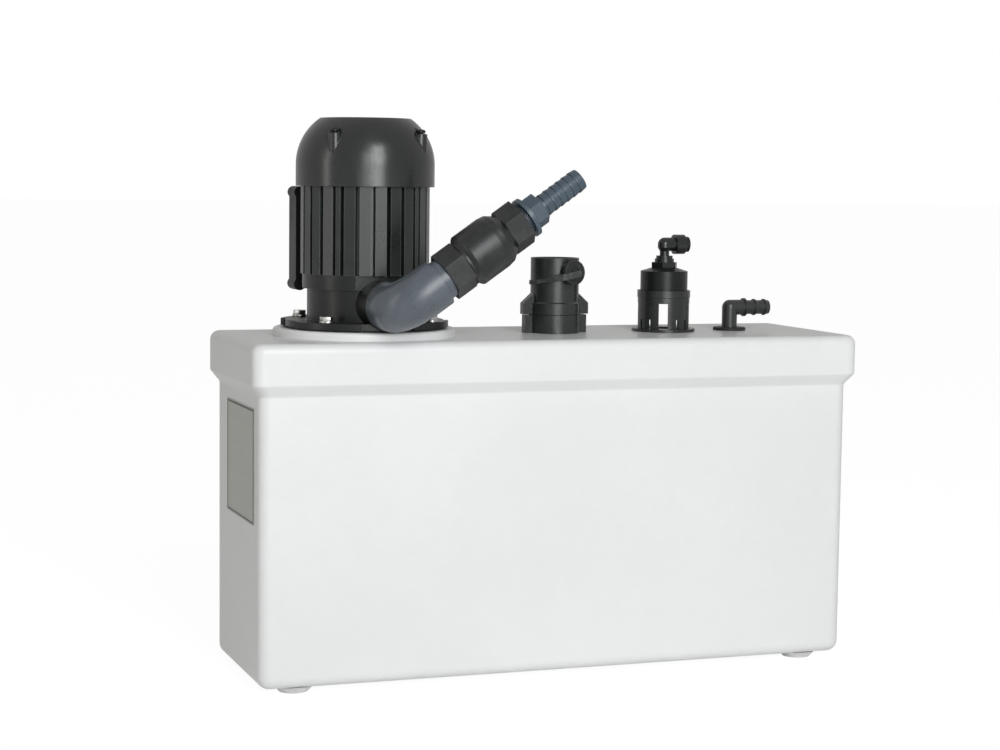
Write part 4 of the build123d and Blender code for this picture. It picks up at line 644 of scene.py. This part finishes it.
class FlangeBolts(bpy.types.Operator):
    """Models one hexagon bolt with its washer and copies both round the flange"""
    bl_idname = "pump.bolts"
    bl_label = "Flange bolts"
    turn = math.radians(12)  # of each hexagon
    crown_width = 0.7 * MM
    crown_drop = 0.55 * MM
    washer_play = 0.2 * MM  # between the shank and the washer's hole

    def execute(self, context):
        colours, sizes = chosen(context)
        zinc = worked_metal("zinc_plate_bolts", colours.zinc, 0.30, EVEN, 0.15 * MM)
        low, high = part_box("flange_bolts")
        reach = (high.x - low.x) / 2 - sizes.bolt_flats / 2
        at = pump_centre + Vector((reach, reach, 0.0))
        base = seat_level + sizes.washer_thickness
        corner = sizes.bolt_flats / math.sqrt(3)
        head = fresh(bpy.ops.mesh.primitive_cylinder_add, "flange_bolt_1", vertices=6, radius=corner,
                     depth=sizes.bolt_head, location=(at.x, at.y, base + sizes.bolt_head / 2),
                     rotation=(0, 0, self.turn))
        # crown: the top is drawn in and its rim is lowered
        pick("FACE", lambda point, normal: normal.z > 0.9)
        draw_in(self.crown_width)
        pick("EDGE", lambda point: point.z > base + 0.9 * sizes.bolt_head
             and apart(point, at) > 0.47 * sizes.bolt_flats)
        bpy.ops.transform.translate(value=(0, 0, -self.crown_drop))
        # shank: the underside is drawn in and pushed down
        pick("FACE", lambda point, normal: normal.z < -0.9)
        draw_in(corner - sizes.bolt_shank)
        push((0, 0, -sizes.bolt_length))
        bolt = settle(head, "tank_unit", zinc, 0.22 * MM, 25.0)
        ring = fresh(bpy.ops.mesh.primitive_cylinder_add, "flange_washer_1", vertices=40,
                     radius=sizes.washer_radius, depth=sizes.washer_thickness,
                     location=(at.x, at.y, seat_level + sizes.washer_thickness / 2))
        pick("FACE", lambda point, normal: abs(normal.z) > 0.9)
        draw_in(sizes.washer_radius - sizes.bolt_shank - self.washer_play, use_individual=True)
        pick("FACE", lambda point, normal: abs(normal.z) > 0.9 and apart(point, at) < sizes.bolt_shank / 2)
        bpy.ops.mesh.bridge_edge_loops()
        washer = settle(ring, "tank_unit", zinc, 0.2 * MM, 40.0)
        quarter_turns(pump_centre, bolt, washer)
        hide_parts("flange_bolts")
        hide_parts("flange_washers")
        return {"FINISHED"}


class CrossScrews(bpy.types.Operator):
    """Models one cross-recessed screw head and copies it to the fan cover and the terminal box lid"""
    bl_idname = "pump.screws"
    bl_label = "Cover screws"
    cover_height = 2.4 * MM  # of a fan cover screw's head
    lid_height = 2.0 * MM  # of a terminal lid screw's head
    crown_width = 0.35  # the next four are shares of the head's radius
    shank_inset = 0.5
    recess_width = 0.26
    recess_length = 1.15
    crown_drop = 0.4  # the last two are shares of the head's height
    recess_height = 1.1

    def execute(self, context):
        colours, sizes = chosen(context)
        zinc = worked_metal("zinc_plate_screws", colours.zinc, 0.32, EVEN, 0.15 * MM)
        black = worked_metal("blackened_screws", colours.black_steel, 0.42, EVEN, 0.15 * MM)
        low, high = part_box("fan_cover_screws")
        reach = (high.x - low.x) / 2 - sizes.cover_head
        centre = (low + high) / 2
        place = Vector((centre.x + reach, centre.y + reach, high.z))
        first = self.screw("cover_screw_1", place, sizes.cover_head, self.cover_height, high.z - low.z,
                           black)
        quarter_turns(centre, first)
        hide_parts("fan_cover_screws")
        low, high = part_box("terminal_lid_screws")
        corner = Vector((high.x - sizes.lid_head, high.y, high.z - sizes.lid_head))
        lid = self.screw("lid_screw_1", corner, sizes.lid_head, self.lid_height, high.y - low.y, zinc,
                         outward="Y")
        across, down = (high.x - low.x) - 2 * sizes.lid_head, (high.z - low.z) - 2 * sizes.lid_head
        for number, shift in ((2, (-across, 0, 0)), (3, (0, 0, -down)), (4, (-across, 0, -down))):
            twin(lid, f"lid_screw_{number}", Matrix.Translation(Vector(shift)))
        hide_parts("terminal_lid_screws")
        return {"FINISHED"}

    def screw(self, name, tip, radius, height, whole, material, outward="Z"):
        """Pan head with a cross recess, and its shank; tip is the middle of the head's top.

        whole is the length of the head and the shank together."""
        head = fresh(bpy.ops.mesh.primitive_cylinder_add, name, vertices=32, radius=radius, depth=height,
                     location=(0, 0, -height / 2))
        pick("FACE", lambda point, normal: normal.z > 0.9)
        draw_in(self.crown_width * radius)
        pick("EDGE", lambda point: point.z > -0.01 * height and point.xy.length > 0.9 * radius)
        bpy.ops.transform.translate(value=(0, 0, -self.crown_drop * height))
        pick("FACE", lambda point, normal: normal.z < -0.9)
        draw_in(self.shank_inset * radius)
        push((0, 0, height - whole))
        bpy.ops.object.mode_set(mode="OBJECT")
        cutter = fresh(bpy.ops.mesh.primitive_cube_add, "recess", size=1.0)
        cutter.scale = (self.recess_width * radius, self.recess_length * radius, self.recess_height * height)
        open_whole()
        bpy.ops.mesh.duplicate()
        bpy.ops.transform.rotate(value=math.pi / 2, orient_axis="Z", center_override=(0, 0, 0))
        bpy.ops.object.mode_set(mode="OBJECT")
        take(head)
        cut = head.modifiers.new("recess", "BOOLEAN")
        cut.operation = "DIFFERENCE"
        cut.solver = "EXACT"
        cut.use_self = True
        cut.object = cutter
        bpy.ops.object.modifier_apply(modifier=cut.name)
        bpy.data.objects.remove(cutter)
        if outward == "Y":
            head.rotation_euler = (-math.pi / 2, 0, 0)
        head.location = tip
        return settle(head, "tank_unit", material, 0.12 * MM, 30.0)


class DischargeFinish(bpy.types.Operator):
    """Finishes the discharge line: elbow, adaptor, check valve and hose nozzle"""
    bl_idname = "pump.discharge"
    bl_label = "Discharge line"

    def execute(self, context):
        colours, sizes = chosen(context)
        finish_nodes(grey_pipe("elbow_blue_grey", colours.grey_pipe, 0.30, 1.2 * sizes.moulded_edge),
                     "discharge_elbow", "elbow_adaptor", "valve_poppet")
        finish_nodes(grey_pipe("nozzle_blue_grey", colours.nozzle, 0.36, sizes.moulded_edge),
                     "hose_nozzle")
        finish_nodes(glass_filled("valve_black_nylon", colours.valve, 0.36, 1.6 * sizes.moulded_edge),
                     "valve_end", "valve_barrel")
        self.spring(colours.steel)
        return {"FINISHED"}

    def spring(self, base):
        """The valve's coil, a finished copy of the CAD spring with its points welded."""
        solid = nodes["valve_spring"]
        coil = bpy.data.objects.new("valve_coil", solid.data.copy())
        coil.matrix_world = solid.matrix_world
        bpy.context.scene.collection.objects.link(coil)
        take(coil)
        bpy.ops.object.mode_set(mode="EDIT")
        bpy.ops.mesh.select_all(action="SELECT")
        bpy.ops.mesh.remove_doubles(threshold=WELD)
        wire = worked_metal("spring_wire", base, 0.26, (1.0, 1.0, 0.2), 0.1 * MM)
        settle(coil, "tank_unit", wire)
        lift = next(joint for joint in frame["joints"] if joint["name"] == "poppet_lift")
        along = Vector(lift["axis"]).normalized()
        stations = [along.dot(point.co) for point in coil.data.vertices]
        first, last = min(stations), max(stations)
        1 - POPPET_TRAVEL / (last - first)
        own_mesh(coil)
        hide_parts("valve_spring")


class InletFinish(bpy.types.Operator):
    """Finishes the inlet, the air gap and the small fittings on the tank's top"""
    bl_idname = "pump.inlets"
    bl_label = "Inlet fittings"

    def execute(self, context):
        colours, sizes = chosen(context)
        finish_nodes(moulded("inlet_black", colours.inlet, 0.30, 1.2 * sizes.moulded_edge,
                             grain=700.0, grain_depth=0.008 * MM), "inlet_tube", "inlet_collar")
        finish_nodes(moulded("air_gap_black", scaled(colours.inlet, 0.9), 0.30, sizes.moulded_edge,
                             grain=900.0, grain_depth=0.01 * MM), "airgap_base", "airgap_cage")
        finish_nodes(moulded("air_gap_cup_black", scaled(colours.inlet, 0.4), 0.32, sizes.moulded_edge,
                             grain=900.0, grain_depth=0.01 * MM, specular=0.28), "airgap_cup")
        finish_nodes(moulded("push_fitting_black", colours.fitting, 0.22, sizes.moulded_edge,
                             grain=1200.0, grain_depth=0.01 * MM, mottle=0.05),
                     "airgap_nut", "push_fit_elbow", "push_fit_collet")
        finish_nodes(moulded("overflow_black", colours.barb, 0.32, sizes.moulded_edge), "barb_elbow")
        return {"FINISHED"}


class SidePlug(bpy.types.Operator):
    """Models the side port's plug and the rubber strap that holds it to the inlet tube"""
    bl_idname = "pump.plug"
    bl_label = "Side plug and strap"
    face_steps = ((1.4, -1.2), (0.6, 0.0), (1.7, 1.0), (0.8, 0.0), (0.8, -1.0))  # width and rise, in mm
    stem_wall = 1.6 * MM
    stem_floor = 1.5 * MM
    seam = math.radians(70)  # where the band's section starts
    climbs_to = math.radians(-20)  # direction in which the band rises
    leaves_at = math.radians(-142.8)  # where the tongue leaves the band
    corner_side = 11.2 * MM  # from the port's axis to the tongue's corner
    end_side = 4.0 * MM  # from the port's axis to the start of the tongue's rounded end
    corner_level = 47.6 * MM  # of the tongue above the tank, at its corner
    end_level = 50.0 * MM  # and at its end
    ease = 2.2 * MM  # length of the corner's rounding on each side
    corner_rise = 0.4 * MM  # of the tongue along that rounding
    end_length = 2.6 * MM
    heights = (3.4, 4.8, 5.4, 5.8)  # of the tongue at the band, half-way, at the corner and on the cap, in mm
    end_heights = ((0.0, 5.8), (0.45, 5.3), (0.75, 4.2), (1.0, 2.4))  # share of the end, and height in mm

    def execute(self, context):
        colours, sizes = chosen(context)
        axis = Vector((inlet_centre.x, inlet_centre.y, 0.0))
        out = Vector((math.cos(PORT_TURN), math.sin(PORT_TURN), 0.0))
        rubber = soft_rubber("plug_rubber", scaled(colours.rubber, 1.5), 0.4 * MM)
        self.plug(axis, out, sizes, rubber)
        # the strap is painted paler than the plug: partly its own paler rubber, partly a painted highlight on
        # its upper surface
        pale = soft_rubber("strap_rubber", scaled(colours.rubber, 4.2), 0.3 * MM)
        ring = self.ring(axis, sizes, pale)
        arm = self.arm(axis, out, sizes, pale)
        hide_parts("plug_strap")
        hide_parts("plug_strap")
        return {"FINISHED"}

    def plug(self, axis, out, sizes, rubber):
        """Cap with a rim, a sunk ring and a middle boss, and its hollow stem."""
        seat = axis + out * (PORT_REACH + PART_LINE) + Vector((0, 0, tank_top + PORT_LEVEL))
        thick = sizes.cap_thickness
        cap = fresh(bpy.ops.mesh.primitive_cylinder_add, "side_plug_cap", vertices=56,
                    radius=sizes.cap_radius, depth=thick, location=seat + out * thick / 2,
                    rotation=(0, math.pi / 2, PORT_TURN))
        pick("FACE", lambda point, normal: normal.dot(out) > 0.9)
        for width, rise in self.face_steps:
            draw_in(width * MM)
            if rise:
                push(out * rise * MM)
        pick("FACE", lambda point, normal: normal.dot(out) < -0.9)
        draw_in(sizes.cap_radius - sizes.stem_radius)
        push(-out * sizes.stem_length)
        draw_in(self.stem_wall)
        push(out * (sizes.stem_length - self.stem_floor))
        plug = settle(cap, "side_plug", rubber, 0.25 * MM, 40.0)
        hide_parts("port_plug")

    def ring(self, axis, sizes, rubber):
        """Band round the tube, one section spun all the way and then set so that it climbs to the right."""
        thick, high = sizes.strap_thickness, sizes.strap_height
        reach = TUBE_RADIUS + BAND_GAP + thick / 2
        level = Vector((0, 0, tank_top + sizes.strap_level))
        start = Vector((math.cos(self.seam), math.sin(self.seam), 0.0))
        ring = fresh(bpy.ops.mesh.primitive_plane_add, "side_plug_band", size=1.0,
                     location=axis + start * reach + level, rotation=(math.pi / 2, 0, self.seam))
        ring.scale = (thick, high, 1.0)
        open_whole()
        bpy.ops.mesh.spin(steps=72, angle=2 * math.pi, center=axis + level, axis=(0, 0, 1))
        bpy.ops.mesh.select_all(action="SELECT")
        bpy.ops.mesh.remove_doubles(threshold=0.02 * MM)
        # the spin leaves every section as a face inside the band; only the first is taken out
        across = start.cross(Vector((0, 0, 1)))
        pick("FACE", lambda point, normal: abs(normal.dot(across)) > 0.999
             and (point - axis - start * reach - level).length < 0.6 * MM)
        bpy.ops.mesh.delete(type="ONLY_FACE")
        bpy.ops.object.mode_set(mode="OBJECT")
        climb = self.climb(sizes)
        ring.data.transform(Matrix(((1, 0, 0, 0), (0, 1, 0, 0),
                                    (climb.x, climb.y, 1, -climb.dot(axis)), (0, 0, 0, 1))))
        return settle(ring, "inlet_pipe", rubber, 0.3 * MM, 50.0)

    def climb(self, sizes):
        """Rise of the band for each metre to the right."""
        towards = Vector((math.cos(self.climbs_to), math.sin(self.climbs_to), 0.0))
        return towards * sizes.strap_climb / TUBE_RADIUS

    def arm(self, axis, out, sizes, rubber):
        """Tongue from the band to the cap: a section carried by steps along its route."""
        route = self.route(axis, out, sizes)
        heading = route[0][1]
        arm = fresh(bpy.ops.mesh.primitive_plane_add, "side_plug_tongue", size=1.0, location=route[0][0],
                    rotation=(math.pi / 2, 0, math.atan2(heading.y, heading.x) + math.pi / 2))
        arm.scale = (sizes.strap_thickness, route[0][2], 1.0)
        open_whole()
        for (here, heading, tall), (there, turned, taller) in zip(route, route[1:]):
            push(there - here)
            swing = math.atan2(turned.y, turned.x) - math.atan2(heading.y, heading.x)
            if abs(swing) > 1e-6:
                bpy.ops.transform.rotate(value=-swing, orient_axis="Z", center_override=there)
            bpy.ops.transform.resize(value=(1, 1, taller / tall), center_override=there)
        bpy.ops.object.mode_set(mode="OBJECT")
        arm = settle(arm, "inlet_pipe", rubber, 0.3 * MM, 50.0)
        arm.parent = None
        arm.matrix_world = Matrix.Identity(4)
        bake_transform(arm)
        return arm

    def route(self, axis, out, sizes):
        """Middle line of the tongue as (point, heading, height) steps."""
        side = Vector((-out.y, out.x, 0.0))
        thick = sizes.strap_thickness
        reach = PORT_REACH + sizes.cap_thickness + BAND_GAP + thick / 2
        first = (Vector((math.cos(self.leaves_at), math.sin(self.leaves_at), 0.0))
                 * (TUBE_RADIUS + BAND_GAP + thick / 2))
        corner = out * reach - side * self.corner_side
        last = out * reach + side * self.end_side
        low = sizes.strap_level + self.climb(sizes).dot(first)
        levels = [tank_top + low, tank_top + self.corner_level, tank_top + self.end_level]
        at_band, half_way, at_corner, on_cap = (height * MM for height in self.heights)
        flat = (last - corner).normalized()
        rise = (corner - first).normalized()
        steps = [(first, rise, levels[0], at_band),
                 (first.lerp(corner, 0.5), rise, (levels[0] + levels[1]) / 2, half_way)]
        before, after = corner - rise * self.ease, corner + flat * self.ease
        for share in (0.0, 0.25, 0.5, 0.75, 1.0):
            point = before.lerp(corner, share).lerp(corner.lerp(after, share), share)
            heading = rise.lerp(flat, share).normalized()
            steps.append((point, heading, levels[1] - (1 - share) * self.corner_rise, at_corner))
        steps.append((corner.lerp(last, 0.6), flat, levels[1] + 0.6 * (levels[2] - levels[1]), on_cap))
        for share, tall in self.end_heights:
            steps.append((last + flat * share * self.end_length, flat, levels[2], tall * MM))
        return [(axis + point + Vector((0, 0, level)), heading, tall)
                for point, heading, level, tall in steps]


class PumpStage(bpy.types.Operator):
    """Builds the pale floor, the soft studio light and the camera at the photograph's angle"""
    bl_idname = "pump.stage"
    bl_label = "Stage"
    lamps = (  # name, place, width and height, watts, tint
        ("key_front", (-0.60, -2.6, 0.65), (0.9, 1.8), 16.0, (0.965, 0.985, 1.0)),
        ("key_high", (0.03, -2.0, 1.02), (0.70, 1.60), 25.5, (0.97, 0.987, 1.0)),
        ("strip_left", (-2.1, -0.25, 0.6), (0.25, 1.4), 4.0, (1.0, 0.97, 0.92)),
    )
    aim = Vector((0, 0, 0.2))  # of every lamp
    eye_place = (-0.6390, -1.66695, 0.4051)
    eye_turns = (19.797, 5.239, 0.689)  # yaw, pitch and roll in degrees
    eye_lens, eye_sensor = 78.08, 36.0  # in mm
    ambient, ambient_tint = 0.205, (1.0, 0.975, 0.93)
    floor_glow = 1.17  # brightness of the floor as the background
    floor_share = 0.80  # how much of the floor shows as the background

    def execute(self, context):
        scene = context.scene
        floor = fresh(bpy.ops.mesh.primitive_plane_add, "stage_floor", size=60.0, location=(0, 0, 0))
        floor.data.materials.append(self.floor_finish())
        self.world(scene)
        for lamp in self.lamps:
            self.lamp(*lamp)
        eye = bpy.data.cameras.new("eye")
        eye.lens = self.eye_lens
        eye.sensor_width = self.eye_sensor
        camera = bpy.data.objects.new("eye", eye)
        scene.collection.objects.link(camera)
        yaw, pitch, roll = (math.radians(turn) for turn in self.eye_turns)
        look = Vector((math.sin(yaw) * math.cos(pitch), math.cos(yaw) * math.cos(pitch), -math.sin(pitch)))
        right = Vector((math.cos(yaw), -math.sin(yaw), 0.0))
        up = right.cross(look)
        turned = right * math.cos(roll) + up * math.sin(roll)
        over = up * math.cos(roll) - right * math.sin(roll)
        camera.matrix_world = Matrix.Translation(self.eye_place) @ Matrix(
            (turned, over, -look)).transposed().to_4x4()
        scene.camera = camera
        scene.view_settings.view_transform = "Standard"
        return {"FINISHED"}

    def lamp(self, name, place, size, power, tint):
        """Soft lamp of a width and height, aimed at the pump."""
        light = bpy.data.lights.new(name, "AREA")
        light.shape = "RECTANGLE"
        light.size, light.size_y = size
        light.energy = power
        light.color = tint
        made = bpy.data.objects.new(name, light)
        made.location = place
        made.rotation_mode = "QUATERNION"
        made.rotation_quaternion = (self.aim - Vector(place)).to_track_quat("-Z", "Y")
        bpy.context.scene.collection.objects.link(made)

    def floor_finish(self):
        """Pale floor that meets a white background and keeps the object's shadow."""
        finish = Finish("stage_floor_white", 0.6, specular=0.2)
        tone = finish.noise(1.2, 3.0)
        finish.paint(finish.mix(tone, (0.86, 0.86, 0.855), (0.88, 0.88, 0.875)))
        rays = finish.node("ShaderNodeLightPath")
        camera, glossy, through = (Signal(finish, rays.outputs[f"Is {kind} Ray"])
                                   for kind in ("Camera", "Glossy", "Transmission"))
        seen = (camera + MIRRORED * glossy + through).clamped() * self.floor_share
        glow = finish.node("ShaderNodeEmission", None,
                           {"Color": (1.0, 1.0, 1.0), "Strength": self.floor_glow})
        both = finish.node("ShaderNodeMixShader", None,
                           {0: seen, 1: finish.shader.outputs[0], 2: glow.outputs[0]})
        finish.feed(finish.tree.nodes["Material Output"].inputs["Surface"], both.outputs[0])
        return finish.material

    def world(self, scene):
        """White background to the camera and in part to reflections, plain ambient light to surfaces."""
        world = bpy.data.worlds.new("studio")
        scene.world = world
        world.use_nodes = True
        sky = Graph(world.node_tree)
        sky.tree.nodes.clear()
        rays = sky.node("ShaderNodeLightPath").outputs
        mirrored = sky.node("ShaderNodeMath", {"operation": "MULTIPLY_ADD", "use_clamp": True},
                            {0: rays["Is Glossy Ray"], 1: MIRRORED, 2: rays["Is Camera Ray"]})
        seen = sky.node("ShaderNodeMath", {"operation": "MAXIMUM"},
                        {0: mirrored.outputs[0], 1: rays["Is Transmission Ray"]})
        ambient = sky.node("ShaderNodeBackground", None,
                           {"Color": self.ambient_tint, "Strength": self.ambient})
        white = sky.node("ShaderNodeBackground", None, {"Color": (1.0, 1.0, 1.0), "Strength": 1.0})
        both = sky.node("ShaderNodeMixShader", None,
                        {0: seen.outputs[0], 1: ambient.outputs[0], 2: white.outputs[0]})
        sky.node("ShaderNodeOutputWorld", None, {"Surface": both.outputs[0]})


class PumpPanel(bpy.types.Panel):
    """Sidebar panel with every step of the pump's looks"""
    bl_idname = "VIEW3D_PT_lifting_pump"
    bl_label = "Lifting pump"
    bl_space_type = "VIEW_3D"
    bl_region_type = "UI"
    bl_category = "Lifting Pump"

    def draw(self, context):
        column = self.layout.column(align=True)
        for step in OPERATORS:
            column.operator(step.bl_idname, text=step.bl_label)
        for group in chosen(context):
            box = self.layout.box()
            for name in group.__annotations__:
                box.prop(group, name)


OPERATORS = (TankFinish, PlateBorder, MotorFinish, PumpHeadFinish, FlangeBolts, CrossScrews, DischargeFinish,
             InletFinish, SidePlug, PumpStage)


def register():
    for kind in (PumpColours, PumpSizes, *OPERATORS, PumpPanel):
        bpy.utils.register_class(kind)
    bpy.types.Scene.pump_colours = bpy.props.PointerProperty(type=PumpColours)
    bpy.types.Scene.pump_sizes = bpy.props.PointerProperty(type=PumpSizes)


def unregister():
    del bpy.types.Scene.pump_sizes
    del bpy.types.Scene.pump_colours
    for kind in reversed((PumpColours, PumpSizes, *OPERATORS, PumpPanel)):
        bpy.utils.unregister_class(kind)


def main():
    register()
    bpy.ops.object.select_all(action="DESELECT")
    for step in OPERATORS:
        group, action = step.bl_idname.split(".")
        getattr(getattr(bpy.ops, group), action)()


if __name__ == "__main__":
    main()
